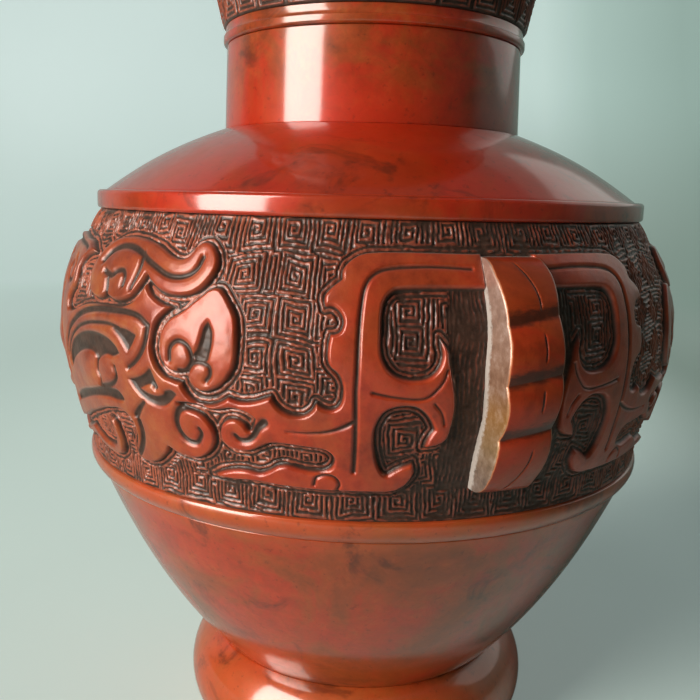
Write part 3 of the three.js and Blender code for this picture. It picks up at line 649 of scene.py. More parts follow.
EAR = [
    (62.5, 136.2), (61.0, 136.0), (59.8, 135.0), (58.5, 133.5), (57.3, 131.8), (56.5, 130.0), (56.2, 127.5),
    (56.1, 125.0), (56.3, 122.5), (56.8, 120.5), (57.8, 118.8), (59.0, 117.3), (60.5, 116.0), (62.5, 115.0),
    (64.5, 114.6), (66.3, 115.2), (67.4, 116.5), (67.8, 118.0), (67.9, 118.6), (67.9, 118.6), (69.8, 118.1),
    (71.8, 118.0), (73.3, 118.7), (74.5, 120.0), (75.2, 121.5), (75.3, 123.5), (75.0, 126.0), (74.0, 128.0),
    (72.5, 129.5), (71.0, 130.3), (69.5, 131.2), (67.5, 132.8), (65.0, 134.8), (64.0, 135.6),
]
FACE = [
    (69.4, 116.3), (71.5, 116.2), (73.7, 116.8), (75.7, 118.4), (76.9, 120.6), (77.3, 123.0), (77.0, 125.6),
    (75.8, 128.2), (73.8, 130.2), (71.9, 131.5), (71.9, 131.5), (75.0, 132.0), (77.5, 132.9), (79.5, 134.3),
    (80.9, 136.2), (80.9, 136.2), (81.9, 134.2), (83.6, 132.2), (86.2, 130.8), (90.0, 130.1), (96.0, 129.9),
    (101.0, 129.6), (105.0, 129.0), (109.0, 127.9), (113.0, 126.7), (116.3, 126.4), (117.4, 128.0),
    (116.2, 130.2), (114.4, 131.7), (113.5, 134.0), (113.8, 136.6), (112.3, 138.7), (109.5, 139.8),
    (106.4, 140.4), (106.4, 140.4), (110.0, 141.9), (114.0, 143.1), (119.0, 143.4), (125.0, 144.1),
    (133.0, 144.8), (133.0, 144.8), (133.0, 95.0), (133.0, 95.0), (125.0, 97.0), (120.0, 98.2), (115.0, 99.9),
    (110.0, 101.6), (105.0, 103.1), (100.0, 104.7), (95.0, 105.8), (91.5, 106.2), (88.9, 105.7),
    (87.2, 104.0), (86.9, 101.5), (87.8, 99.2), (89.2, 97.2), (89.0, 95.2), (86.0, 94.6), (83.0, 94.9),
    (80.5, 96.0), (78.5, 97.5), (77.0, 98.8), (76.0, 100.2), (76.0, 100.2), (73.5, 99.2), (70.0, 98.7),
    (67.0, 99.3), (64.6, 100.9), (62.9, 103.0), (62.4, 105.2), (63.0, 107.4), (64.8, 109.4), (67.2, 110.3),
    (69.5, 110.8), (71.0, 111.8), (69.8, 113.6),
]
FANG = [
    (98.0, 103.4), (97.3, 101.0), (97.6, 98.4), (98.8, 96.5), (101.0, 95.6), (105.0, 95.9), (109.0, 97.0),
    (113.0, 98.2), (118.0, 96.6), (124.0, 95.2), (133.0, 93.4), (133.0, 93.4), (133.0, 91.2), (133.0, 91.2),
    (124.0, 93.0), (117.0, 94.6), (112.0, 94.8), (107.0, 93.4), (101.0, 92.8), (96.6, 94.0), (94.6, 97.0),
    (94.6, 100.4), (96.0, 103.0),
]

# Areas cut back to the ground.
CUT_AREAS = [
    # slit of the ear
    [(62.9, 129.3), (62.9, 129.3), (61.9, 127.5), (61.8, 125.5), (62.3, 123.0), (63.0, 121.2), (65.3, 121.2),
     (66.3, 122.2), (65.2, 123.6), (64.4, 126.0), (63.9, 128.0)],
    # hollow over the eye's corner
    [(90.6, 125.3), (90.6, 125.3), (86.0, 125.5), (82.2, 124.6), (82.2, 124.6), (83.2, 122.8), (84.6, 121.0),
     (84.6, 121.0), (87.4, 123.4)],
    # eye's socket
    [(88.0, 119.9), (89.7, 121.5), (93.0, 122.8), (98.0, 123.3), (103.0, 122.8), (108.0, 121.4),
     (113.0, 119.1), (116.6, 116.2), (118.2, 113.0), (116.5, 112.6), (113.5, 114.8), (110.0, 116.4),
     (106.0, 117.9), (102.0, 118.8), (98.8, 118.5), (97.0, 117.0), (97.0, 117.0), (95.3, 118.3),
     (92.8, 119.1), (90.4, 119.0)],
    # band under the eye
    [(88.5, 109.3), (90.0, 110.9), (93.0, 111.2), (97.0, 110.9), (100.5, 110.0), (105.0, 108.9),
     (110.0, 107.8), (116.0, 106.0), (121.0, 104.0), (121.4, 102.5), (116.0, 103.9), (110.0, 105.6),
     (105.0, 107.0), (100.0, 108.1), (95.0, 108.8), (91.0, 108.8)],
    # almond behind the cheek, round its tongue
    [(85.0, 114.7), (85.0, 114.7), (83.0, 112.5), (80.5, 110.9), (77.5, 110.1), (75.0, 110.3), (73.0, 111.5),
     (71.2, 113.3), (71.2, 113.3), (72.5, 114.0), (74.3, 113.6), (75.0, 112.7), (77.0, 112.1), (79.5, 112.3),
     (81.8, 113.1), (81.8, 113.1), (79.6, 114.2), (78.0, 114.5), (76.9, 113.6), (76.2, 114.2), (76.9, 115.6),
     (77.6, 117.2), (78.2, 118.0), (80.0, 116.6), (82.0, 115.6)],
]

# Strokes cut back to the ground: points, width at the first, width at the last.
CUTS = [
    ([(66.9, 141.4), (67.6, 139.4), (69.5, 137.9), (72.5, 137.3), (75.5, 137.6), (79.0, 138.8), (82.5, 140.1),
      (86.0, 141.6), (90.0, 142.5), (94.0, 142.3), (97.3, 141.1), (99.8, 139.0)], 1.0, 1.3),
    ([(84.6, 141.3), (84.2, 138.8), (84.6, 136.8), (85.6, 134.0)], 1.1, 0.8),
    ([(88.8, 134.4), (88.7, 136.2), (90.0, 137.4), (92.0, 137.2), (93.8, 136.2), (95.2, 136.2),
      (97.4, 136.8)], 0.9, 1.2),
    ([(94.8, 131.0), (94.6, 133.2), (95.4, 135.6)], 1.1, 0.9),
    ([(67.6, 119.2), (66.5, 120.5), (65.0, 121.0), (63.5, 120.8), (62.4, 120.1), (62.3, 118.6),
      (63.2, 117.3)], 1.1, 0.8),
    ([(72.3, 120.7), (72.2, 123.0), (71.0, 124.4), (69.5, 124.8), (67.8, 124.1), (66.8, 122.6), (66.6, 120.8),
      (68.0, 118.9), (69.8, 118.6)], 0.9, 1.1),
    ([(66.6, 111.0), (69.0, 110.9), (71.0, 109.9), (72.0, 108.0), (72.0, 106.0), (71.0, 104.1), (69.2, 103.0),
      (67.4, 103.1), (66.4, 104.2), (65.9, 105.4), (66.4, 106.4)], 1.6, 0.8),
    ([(78.9, 127.2), (82.0, 128.7), (86.0, 129.1), (90.0, 129.0), (95.0, 128.8), (100.0, 128.2),
      (105.0, 127.0), (110.0, 125.0), (114.5, 122.4), (118.5, 118.8), (121.4, 114.6),
      (122.8, 110.4)], 1.2, 1.5),
    ([(88.0, 125.4), (92.0, 125.9), (97.0, 125.6), (102.0, 124.9), (107.0, 123.5), (111.5, 121.4),
      (115.8, 118.4), (118.8, 115.2)], 0.7, 0.9),
    ([(78.6, 127.0), (79.2, 123.8), (80.5, 121.1), (82.5, 118.9), (85.0, 117.2)], 1.3, 0.8),
    ([(90.3, 116.6), (90.0, 114.6), (91.2, 113.0), (93.6, 111.8), (97.0, 110.9)], 0.8, 1.3),
    ([(97.2, 117.6), (97.9, 115.0), (97.2, 112.6), (98.2, 110.4)], 0.7, 0.5),
    ([(81.4, 109.9), (83.3, 108.2), (85.0, 106.3)], 0.8, 1.7),
    ([(84.6, 104.9), (84.4, 102.6), (85.2, 100.0), (86.6, 97.9), (88.0, 96.4)], 1.6, 1.5),
    ([(113.2, 140.7), (117.0, 141.5), (122.0, 141.9), (127.0, 142.4), (133.0, 142.7)], 0.8, 1.2),
    ([(119.4, 138.6), (117.4, 136.8), (117.2, 134.4), (119.2, 132.8), (121.8, 133.4), (122.6, 135.6),
      (121.2, 136.8)], 0.8, 1.1),
    ([(133.0, 139.8), (128.4, 139.0), (126.0, 136.4), (126.0, 132.6), (127.0, 128.0), (126.6, 122.0),
      (126.2, 116.0), (125.2, 111.6), (123.6, 108.4), (124.6, 105.4), (127.4, 104.0),
      (133.0, 103.2)], 1.0, 1.3),
    ([(50.8, 109.7), (52.3, 108.3), (53.4, 106.5), (54.8, 105.4), (56.5, 105.3), (57.6, 106.2)], 1.7, 0.8),
    ([(133.0, 108.2), (129.8, 107.9), (127.6, 108.8), (127.2, 110.6), (128.4, 111.6)], 1.1, 0.8),
]

# Fine lines in the raised forms' faces.
LINES = [
    ([(9, 140.9), (15, 141.2), (20, 141.2), (25, 140.9), (28, 140.3), (30, 139), (31.1, 137), (31.6, 134),
      (31.9, 130), (32, 125), (32.1, 120), (32.2, 117), (32.1, 112), (32.1, 106), (32.3, 100.2)], 0.8, 1.2),
    ([(32.2, 111.3), (35.0, 109.8), (38.0, 108.8), (42.0, 108.3), (46.0, 108.3)], 1.2, 0.5),
    ([(28.9, 117.3), (26, 116.7), (23, 116.3), (20, 116.1), (18, 116.6), (16.5, 118), (15.2, 119.8),
      (14.5, 122)], 0.85, 0.7),
    ([(16.6, 115.1), (15.1, 113.2), (14.4, 110.8)], 0.7, 0.6),
    ([(40.8, 96.6), (40.2, 98.3), (38.2, 99.0), (36.2, 98.5), (35.3, 97.0), (35.8, 95.6)], 0.9, 0.8),
]

# Middles of the fret's squares between the forms.
FRET_MIDDLES = [
    (21.0, 126.6), (21.6, 132.4), (22.0, 107.4), (11.2, 99.2), (9.5, 116.0), (10.0, 130.0), (44.5, 122.2),
    (44.8, 131.0), (46.0, 139.0), (53.0, 122.2), (53.4, 130.6), (57.2, 139.0), (37.4, 117.5), (37.3, 131.0),
    (44.6, 114.4), (54.0, 115.6), (42.5, 102.2), (51.5, 101.4), (60.5, 100.4), (69.0, 96.6), (110.2, 134.2),
    (92.6, 99.6), (105.0, 99.6), (116.0, 137.0), (76.5, 146.0),
]
print("points in the outlines:", sum(len(outline) for outline in (DRAGON, HORN, EAR, FACE, FANG)))

# %% [markdown]
# ## The relief: depth inside a form
# A grid over the unrolled band asks of each point how deep it lies inside the forms, in millimetres
# from their edge. A form is an area inside an outline or a stroke along a line. This signed distance
# gives clean, even sides to any shape, where cutting each outline into a mesh would leave slivers.

# %% Distances
# Further away than this, in millimetres, a point is simply far from the line.
FAR = 3.0


def smooth_line(points, closed=False, step=0.35):
    """A spline through the points. A point listed twice is a corner, where the spline stops and starts."""
    pts = np.array(points, float)
    runs, run = [], [pts[0]]
    for here in pts[1:]:
        if np.allclose(here, run[-1]):
            if len(run) > 1:
                runs.append(run)
            run = [here]
        else:
            run.append(here)
    runs.append(run)
    corners = len(runs) > 1 or np.allclose(pts[0], pts[1])
    if closed:
        runs[-1 if corners else 0].append(pts[0])
    out = []
    for run in runs:
        run = np.array(run)
        if len(run) < 2:
            continue
        loop = closed and not corners
        before = run[-2] if loop else 2 * run[0] - run[1]
        after = run[1] if loop else 2 * run[-1] - run[-2]
        ext = np.vstack([before, run, after])
        for a, b, c, d in zip(ext[:-3], ext[1:-2], ext[2:-1], ext[3:]):
            n = max(2, int(np.ceil(np.linalg.norm(c - b) / step)))
            t = (np.arange(n) / n)[:, None]
            out.append(0.5 * (2 * b + (c - a) * t + (2 * a - 5 * b + 4 * c - d) * t ** 2
                              + (3 * b - a - 3 * c + d) * t ** 3))
        out.append(run[-1][None])
    line = np.vstack(out)
    return np.vstack([line, line[:1]]) if closed else line


def line_distance(us, zs, line, half_widths=(0, 0)):
    """Distance from each grid point to the line, less the line's half width there, and at most FAR."""
    dist = np.full((len(zs), len(us)), FAR)
    halves = np.linspace(*half_widths, len(line))
    for a, b, half_a, half_b in zip(line[:-1], line[1:], halves[:-1], halves[1:]):
        span = FAR + max(half_a, half_b)
        u0, u1 = np.searchsorted(us, [min(a[0], b[0]) - span, max(a[0], b[0]) + span])
        z0, z1 = np.searchsorted(zs, [min(a[1], b[1]) - span, max(a[1], b[1]) + span])
        if u0 >= u1 or z0 >= z1:
            continue
        du, dz = us[None, u0:u1] - a[0], zs[z0:z1, None] - a[1]
        along = b - a
        t = np.clip((du * along[0] + dz * along[1]) / max(along @ along, 1e-9), 0, 1)
        near = np.hypot(du - t * along[0], dz - t * along[1]) - (half_a * (1 - t) + half_b * t)
        dist[z0:z1, u0:u1] = np.minimum(dist[z0:z1, u0:u1], near)
    return dist


def area_depth(us, zs, outline):
    """Positive inside the outline, in millimetres from its edge, and negative outside."""
    line = smooth_line(outline, closed=True)
    dist = line_distance(us, zs, line)
    inside = np.zeros(dist.shape, bool)
    a, b = line[:-1], line[1:]
    # A point is inside where an odd number of edges lies to its left.
    for row, z in enumerate(zs):
        hit = (a[:, 1] > z) != (b[:, 1] > z)
        if hit.any():
            cut = a[hit, 0] + (z - a[hit, 1]) / (b[hit, 1] - a[hit, 1]) * (b[hit, 0] - a[hit, 0])
            inside[row] = (np.searchsorted(np.sort(cut), us) % 2) == 1
    return np.where(inside, dist, -dist)


def areas_depth(us, zs, outlines):
    """Depth inside the outline that a point is deepest in."""
    return np.maximum.reduce([area_depth(us, zs, outline) for outline in outlines])


def strokes_depth(us, zs, strokes):
    """Depth inside the stroke that a point is deepest in. A stroke's width runs from first to last."""
    return np.maximum.reduce([
        -line_distance(us, zs, smooth_line(points), (first / 2, last / 2)) for points, first, last in strokes
    ])


print("points along the dragon's smooth edge:", len(smooth_line(DRAGON, closed=True)))

# %% [markdown]
# ## The relief: from depths to heights
# The depth becomes a height: a side that rises in about a millimetre, then a face that swells a
# little. The cuts inside a form are shallower than the form is high, so that the belly keeps its round
# outline. The fret ground is cut by a rule: each square winds inwards as a spiral, so a point's ridge
# comes from its distance to the square's middle. Close to a raised form the lines follow the form's
# edge instead, and the narrow ground beside the lug has only faint upright lines.

# %% Grid over a quarter of the band
COLUMNS = 504
ROWS = 240
BAND_R = 83.2
QUARTER_ROUND = 130.7
BAND_FOOT = 87.9
BAND_TOP = 150.4
STEP_U = QUARTER_ROUND / COLUMNS
STEP_Z = (BAND_TOP - BAND_FOOT) / ROWS

us = np.arange(COLUMNS + 1) * STEP_U
zs = BAND_FOOT + np.arange(ROWS + 1) * STEP_Z
print("grid steps:", round(STEP_U, 3), "mm round and", round(STEP_Z, 3), "mm up")

# %% Soft steps and random values


def smoothstep(low, high, x):
    """0 below low and 1 above high, with a smooth rise between. It falls where low is above high."""
    t = np.clip((x - low) / (high - low), 0, 1)
    return t * t * (3 - 2 * t)


def wander(us, zs, size, seed):
    """Smooth random values from -1 to 1 whose bumps are about so many millimetres across."""
    draw = np.random.default_rng(seed)
    gu, gz = (us - us[0]) / size, (zs - zs[0]) / size
    table = draw.uniform(-1, 1, (int(gz[-1]) + 3, int(gu[-1]) + 3))
    iu, iz = gu.astype(int), gz.astype(int)
    fu, fz = smoothstep(0, 1, gu - iu)[None, :], smoothstep(0, 1, gz - iz)[:, None]
    top = table[iz][:, iu] * (1 - fu) + table[iz][:, iu + 1] * fu
    low = table[iz + 1][:, iu] * (1 - fu) + table[iz + 1][:, iu + 1] * fu
    return top * (1 - fz) + low * fz


print("a soft step, a quarter of the way:", smoothstep(0, 1, 0.25))

# %% Fret
# A line and the gap beside it take four samples of the grid, about 1 mm. Lengths are in millimetres.
SAMPLES_PER_LINE = 4
BESIDE_LUG = 14.5
TICK_PITCH = 1.05
ALONG_EDGE = 1.6


def spiral_lines(x, y):
    """Line number of a square spiral: one line for every whole number. x and y are in line widths."""
    upper = np.maximum.reduce([x, y + 0.25, -x + 0.5])
    lower = np.maximum.reduce([x + 1, -y + 0.75, -x + 0.5])
    return np.where(y >= 0, upper, lower)


def line_ridge(lines):
    """How high the ridge is, from 0 to 1, when whole numbers are the middles of the lines."""
    return smoothstep(0.20, 0.95, 0.5 + 0.5 * np.cos(2 * math.pi * lines))


def fret_middles():
    """The chosen middles between the forms, and rows of them along the band's top and bottom edges."""
    # The top row leaves room for the middle that stands between the horn and the dragon.
    middles = FRET_MIDDLES + [(4.7 + 8.6 * k, 147.9) for k in range(15) if not 70 < 4.7 + 8.6 * k < 80]
    middles += [(4.6 + 9.3 * k, 92.1) for k in range(14)]
    return [
        (STEP_U * round(u / STEP_U), BAND_FOOT + STEP_Z * round((z - BAND_FOOT) / STEP_Z)) for u, z in middles
    ]


def square_lines():
    """Line number in the nearest square, for each grid point. The bends make the lines hand-cut."""
    bend_u = 0.45 * wander(us, zs, 5.0, 14) + 1.0 * wander(us, zs, 17.0, 19)
    bend_z = 0.45 * wander(us, zs, 4.0, 15) + 0.9 * wander(us, zs, 13.0, 20)
    best = np.full((len(zs), len(us)), np.inf)
    lines = np.zeros_like(best)
    for k, (u, z) in enumerate(fret_middles()):
        x = (((us - u) / (SAMPLES_PER_LINE * STEP_U))[None, :] + bend_u) * (1 if k % 2 else -1)
        y = (((zs - z) / (SAMPLES_PER_LINE * STEP_Z))[:, None] + bend_z) * (1 if k % 3 else -1)
        far = np.maximum(abs(x), abs(y))
        near = far < best
        best[near] = far[near]
        lines[near] = spiral_lines(x, y)[near]
    return lines


def fret_ridges(outer):
    """The ground's ridges, from 0 to about 1: squares, lines along a form's edge, and ticks by the lug."""
    lines = np.where(-outer < ALONG_EDGE, -outer / (SAMPLES_PER_LINE * STEP_U) + 0.5, square_lines())
    beside = us < BESIDE_LUG
    ticks = us / TICK_PITCH + (0.75 * wander(us, zs, 7.0, 16) + 0.22 * wander(us, zs, 1.6, 18))
    plain = ((zs[:, None] > 95) & (zs[:, None] < 138)) & beside[None, :]
    lines = np.where(plain, ticks, lines) + 0.13 * wander(us, zs, 1.7, 4)
    # The ridges are worn unevenly, and more so beside the lug and in the rows along the edges.
    worn = 0.74 + 0.30 * smoothstep(12, 34, us)
    worn = worn + 0.38 * wander(us, zs, 3.0, 5) + 0.45 * wander(us, zs, 0.75, 6)
    worn = np.where(plain, 0.42 * worn, worn)
    worn = worn - 0.2 * (smoothstep(142.5, 144, zs) + smoothstep(97.5, 96, zs))[:, None]
    return np.clip(line_ridge(lines) * worn, 0, 1.15) * (outer < 0)


print("fret squares in a quarter:", len(fret_middles()))

# %% Heights
RELIEF_HEIGHT = 1.2
FRET_DEPTH = 0.45
LINE_DEPTH = 0.55
CUT_SHARE = 0.70

# Domes on the mask: (round, height, reach, rise) of the eye, its corner, the nose and the nostril.
DOMES = [
    (103.5, 114.4, 6.5, 0.45), (93.6, 115.4, 3.2, 0.2), (131.0, 118.0, 5.5, 0.5), (131.0, 106.5, 4.5, 0.4),
]


def relief_heights():
    """Height over the ground in mm, and the two values that colour it: raised face and fret ridge."""
    outer = areas_depth(us, zs, [DRAGON, HORN, EAR, FACE, FANG])
    cut = np.maximum(strokes_depth(us, zs, CUTS), areas_depth(us, zs, CUT_AREAS))
    fine = strokes_depth(us, zs, LINES)
    depth = np.minimum(outer, -cut)
    side = smoothstep(-0.25, 0.80, outer)
    groove = smoothstep(-0.25, 0.45, fine)
    channel = smoothstep(-0.75, 0.75, cut)
    swell = 0.12 * smoothstep(0.3, 2.6, depth)
    for u, z, reach, rise in DOMES:
        away = np.hypot((us[None, :] - u) / reach, (zs[:, None] - z) / reach)
        swell = swell + rise * (1 - smoothstep(0, 1, away))
    face = RELIEF_HEIGHT - 0.1 + swell + 0.06 * wander(us, zs, 5.0, 3) + 0.03 * wander(us, zs, 1.6, 9)
    raised = side * face * (1 - CUT_SHARE * channel) - LINE_DEPTH * groove * side * (1 - channel)
    raised = raised + 0.035 * wander(us, zs, 0.9, 17) * np.maximum(channel, groove) * side
    ridge = fret_ridges(outer)
    ground = FRET_DEPTH * (ridge - 1) + 0.08 * wander(us, zs, 0.6, 8)
    shown = side * smoothstep(-0.45, 0.60, depth) * (1 - 0.85 * groove)
    return np.maximum(raised + (1 - side) * ground, ground), shown, ridge * (1 - side)


height, face_tone, ridge_tone = relief_heights()
print("relief from", round(height.min(), 2), "to", round(height.max(), 2), "mm")

# %% [markdown]
# ## The relief: patina
# The same red patina, but the caster rubs only what stands up. The faces come out red and waxed by the
# lug and more golden round the mask, the cut lines stay brown-black, and the fret's ridges catch a
# rusty red, paler towards the masks as painted sheen. Two values stored on the mesh's points say which
# is which, so the colour follows the carving. A little dust, as sheen, greys what is seen at a slant.

# %% Relief patina


def relief_patina():
    """Brown ground with rust-red ridges, paler towards the masks as painted sheen, and waxed red to
    golden-brown faces.
    """
    made, tree, place = new_material("relief patina, rubbed back on its faces")
    face = add(tree, "ShaderNodeAttribute", attribute_name="face").outputs["Fac"]
    ridge = add(tree, "ShaderNodeAttribute", attribute_name="ridge").outputs["Fac"]
    # The lugs stand on the X axis, so the distance from it grows towards the masks.
    apart = add(tree, "ShaderNodeSeparateXYZ", [place]).outputs["Y"]
    apart = add(tree, "ShaderNodeMath", [apart], operation="ABSOLUTE")
    # Clouded colours: blotch in mm, detail, roughness and the ramp's stops.
    clouded = []
    for size, detail, rough, stops in (
        (3, 4.0, 0.7, [(0.3, "#24160F"), (0.6, "#442B21"), (0.8, "#5A3C30")]),
        (9, 4.0, 0.6, [(0.3, "#582418"), (0.5, "#863A26"), (0.75, "#A85438")]),
        (5, 5.0, 0.65, [(0.32, "#8C2A10"), (0.5, "#B23C1A"), (0.68, "#BC4A20")]),
        (7, 5.0, 0.65, [(0.32, "#6E2A10"), (0.5, "#96441E"), (0.68, "#AA6430")]),
    ):
        noise = add(tree, "ShaderNodeTexNoise", [place, 1 / (size * MM), detail, rough])
        clouded.append(add(tree, "ShaderNodeValToRGB", [noise], stops=stops))
    dark, rust, russet, golden = clouded
    # Towards the masks the ridges turn a paler rust: painted sheen, where the window's glints fall on the
    # fret.
    painted_sheen_to_mask = add(tree, "ShaderNodeMapRange", [apart, 25 * MM, 60 * MM, 0.0, 0.55],
                  interpolation_type="SMOOTHSTEP")
    rust = add(tree, "ShaderNodeMix", [painted_sheen_to_mask, rust, "#BC6244"], data_type="RGBA")
    catch = add(tree, "ShaderNodeMapRange", [ridge, 0.15, 0.75], interpolation_type="SMOOTHSTEP")
    patchy = add(tree, "ShaderNodeTexNoise", [place, 1 / (3.2 * MM), 3.0, 0.65])
    patchy = add(tree, "ShaderNodeMapRange", [patchy, 0.22, 0.60, 0.25, 1.0], interpolation_type="SMOOTHSTEP")
    catch = add(tree, "ShaderNodeMath", [catch, patchy], operation="MULTIPLY")
    ground = add(tree, "ShaderNodeMix", [catch, dark, rust], data_type="RGBA")
    on_mask = add(tree, "ShaderNodeMapRange", [apart, 50 * MM, 76 * MM, 0.0, 0.75],
                  interpolation_type="SMOOTHSTEP")
    rubbed = add(tree, "ShaderNodeMix", [0.6, patina_colour(tree, place), russet], data_type="RGBA")
    rubbed = add(tree, "ShaderNodeMix", [on_mask, rubbed, golden], data_type="RGBA")
    bare = add(tree, "ShaderNodeMapRange", [face, 0.12, 0.80], interpolation_type="SMOOTHSTEP")
    colour = add(tree, "ShaderNodeMix", [bare, ground, rubbed], data_type="RGBA")
    grain = add(tree, "ShaderNodeTexNoise", [place, 1 / (0.7 * MM), 3.0, 0.7])
    rough = add(tree, "ShaderNodeMapRange", [face, 0.1, 0.8, 0.55, 0.36], interpolation_type="SMOOTHSTEP")
    bump = add(tree, "ShaderNodeBump", {"Height": grain, "Strength": 0.4, "Distance": 0.12 * MM})
    proud = add(tree, "ShaderNodeMath", [face, ridge], operation="MAXIMUM")
    wax = add(tree, "ShaderNodeMapRange", [proud, 0.1, 0.6, 0.22, 0.62], interpolation_type="SMOOTHSTEP")
    shader = patina_surface(tree, colour, rough, bump, metal=0.15, wax=wax, wax_rough=0.26, dust=0.18)
    add(tree, "ShaderNodeOutputMaterial", [shader])
    return made


RELIEF = relief_patina()
print("material:", RELIEF.name)

# %% [markdown]
# ## The relief: mesh
# One quarter of the band becomes a grid of points, 0.26 mm apart, each pushed out along the profile's
# normal by its height. That is too many triangles for one piece, so the quarter is cut in two panels.
# A Geometry Nodes tree turns each panel to its place, and mirrors every second one. The back of each
# panel is a plain wall, so that every piece is a closed solid.

# %% Segments of a band


def band_segment(name, r, z, angle, face, ridge):
    """A closed mesh from radii and heights: its rows close on themselves, between two flat ends."""
    rows, cols = r.shape
    points = np.stack([r * np.cos(angle), r * np.sin(angle), z], -1).reshape(-1, 3) * MM
    k = np.arange(rows * cols).reshape(rows, cols)
    above = np.roll(k, -1, axis=0)
    quads = np.stack([k[:, :-1], k[:, 1:], above[:, 1:], above[:, :-1]], -1).reshape(-1, 4)
    made = bpy.data.meshes.new(name)
    made.from_pydata(points, [], quads.tolist() + [k[::-1, 0].tolist(), k[:, -1].tolist()])
    # Smooth shading, but sharp where the segment meets the next one, so that no crease shows there.
    smooth = np.ones(len(made.polygons), bool)
    smooth[-2:] = False
    made.polygons.foreach_set("use_smooth", smooth)
    pairs = np.empty(len(made.edges) * 2, int)
    made.edges.foreach_get("vertices", pairs)
    column = pairs.reshape(-1, 2) % cols
    border = (column[:, 0] == column[:, 1]) & ((column[:, 0] == 0) | (column[:, 0] == cols - 1))
    made.attributes.new("sharp_edge", "BOOLEAN", "EDGE").data.foreach_set("value", border)
    for label, values in (("face", face), ("ridge", ridge)):
        full = np.zeros((rows, cols), np.float32)
        full[:len(values)] = values
        made.attributes.new(label, "FLOAT", "POINT").data.foreach_set("value", full.ravel())
    return made


def quarter_tree():
    """Turns a panel about Z, after mirroring it where asked."""
    tree, given = new_tree("quarter of the band", (
        ("Panel", "Geometry"), ("Mirror", "Bool"), ("Turn", "Float"), ("Finish", "Material"),
    ))
    flipped = add(tree, "GeometryNodeFlipFaces", {"Mesh": given["Panel"]})
    flipped = add(tree, "GeometryNodeTransform", {"Geometry": flipped, "Scale": (1, -1, 1)})
    chosen = add(tree, "GeometryNodeSwitch", [given["Mirror"], given["Panel"], flipped],
                 input_type="GEOMETRY")
    turn = add(tree, "ShaderNodeCombineXYZ", {"Z": given["Turn"]})
    placed = add(tree, "GeometryNodeTransform", {"Geometry": chosen, "Rotation": turn})
    whole = add(tree, "GeometryNodeRealizeInstances", [placed])
    done = add(tree, "GeometryNodeSetMaterial", {"Geometry": whole, "Material": given["Finish"]})
    add(tree, "NodeGroupOutput", [done])
    return tree


QUARTER = quarter_tree()
print("nodes in the quarter tree:", len(QUARTER.nodes))

# %% Band panels
BAND_WALL = 2.8
# The cut between two panels stands where it crosses the least of the raised forms.
CUT_COLUMN = 193

band_line = sweep(77.5, BAND_FOOT, 0.3, 74.0, BAND_TOP, -0.86, 120)


def band_radius(z):
    """Radius of the raised forms' faces at a height."""
    return np.interp(z, band_line[:, 1], band_line[:, 0])


def panel_mesh(name, first, last):
    """A closed mesh of the band between two grid columns: relief outside, a plain wall inside."""
    # The relief eases into the plain edges, so that it meets the mouldings over and under it.
    ease = smoothstep(0, 7, zs - zs[0]) * smoothstep(0, 7, zs[-1] - zs)
    ends = smoothstep(0, 1.2, zs - zs[0]) * smoothstep(0, 1.0, zs[-1] - zs)
    radius = band_radius(zs) - RELIEF_HEIGHT * ease
    slope = np.gradient(radius, zs)
    length = np.hypot(1, slope)
    columns = slice(first, last + 1)
    push = height[:, columns]
    push = np.where(push > 0, push * ease[:, None], push) * ends[:, None]
    inner = np.linspace(ROWS, 0, 13).astype(int)
    level = np.zeros(push.shape[1])
    r = np.vstack([radius[:, None] + push / length[:, None], (radius[inner] - BAND_WALL)[:, None] + level])
    z = np.vstack([zs[:, None] - push * (slope / length)[:, None], zs[inner][:, None] + level])
    return band_segment(name, r, z, -us[columns] / BAND_R, face_tone[:, columns], ridge_tone[:, columns])


for part, first, last in (("dragon", 0, CUT_COLUMN), ("mask", CUT_COLUMN, COLUMNS)):
    for side, mirror, turn in (
        ("right_front", False, 0.0), ("right_back", True, 0.0),
        ("left_back", False, math.pi), ("left_front", True, math.pi),
    ):
        name = f"belly_{part}_{side}"
        made = bake(name, panel_mesh(name + "_panel", first, last), QUARTER,
                    {"Mirror": mirror, "Turn": turn, "Finish": RELIEF})
        place_piece(name, made, "belly_band")

# %% [markdown]
# ## Collar
# Under the mouth a flaring collar repeats the fret. Only its foot is in the picture. It is made as
# the band is, from heights on a grid that is turned about the axis, with its squares in two rows.

# %% Collar fret
COLLAR_COLUMNS = 896
COLLAR_ROWS = 60
COLLAR_SQUARES = 28
COLLAR_DEPTH = 0.55


def collar_half(name, first):
    """Half the collar, closed, with its fret cut into the outer face."""
    line = sweep(41.5, 199.0, 0.2, 46.6, 217.0, 0.42, COLLAR_ROWS)
    columns = np.arange(COLLAR_COLUMNS // 2 + 1) + first
    rows = np.arange(COLLAR_ROWS + 1)
    square_width, square_height = COLLAR_COLUMNS // COLLAR_SQUARES, COLLAR_ROWS // 2
    x = ((columns % square_width) - square_width // 2) / SAMPLES_PER_LINE
    y = ((rows % square_height) - square_height // 2) / SAMPLES_PER_LINE
    x, y = np.meshgrid(x, y)
    across, up = np.arange(len(columns)) * 0.3, rows * 0.3
    worn = 1 + 0.3 * wander(across, up, 3.0, 11) + 0.3 * wander(across, up, 0.8, 12)
    edge = smoothstep(0, 3, rows)[:, None] * smoothstep(0, 3, rows[-1] - rows)[:, None]
    ridge = np.clip(line_ridge(spiral_lines(x, y)) * worn, 0, 1.1) * edge
    push = COLLAR_DEPTH * (ridge - 1)
    back = offset(line, WALL)[::-10]
    level = np.zeros(len(columns))
    r = np.vstack([line[:, :1] + push, back[:, :1] + level])
    z = np.vstack([line[:, 1:] + level, back[:, 1:] + level])
    made = band_segment(name, r, z, columns * 2 * math.pi / COLLAR_COLUMNS, 0 * ridge, ridge)
    made.materials.append(RELIEF)
    place_piece(name, made, "collar_band")


collar_half("collar_front", COLLAR_COLUMNS // 2)
collar_half("collar_back", 0)
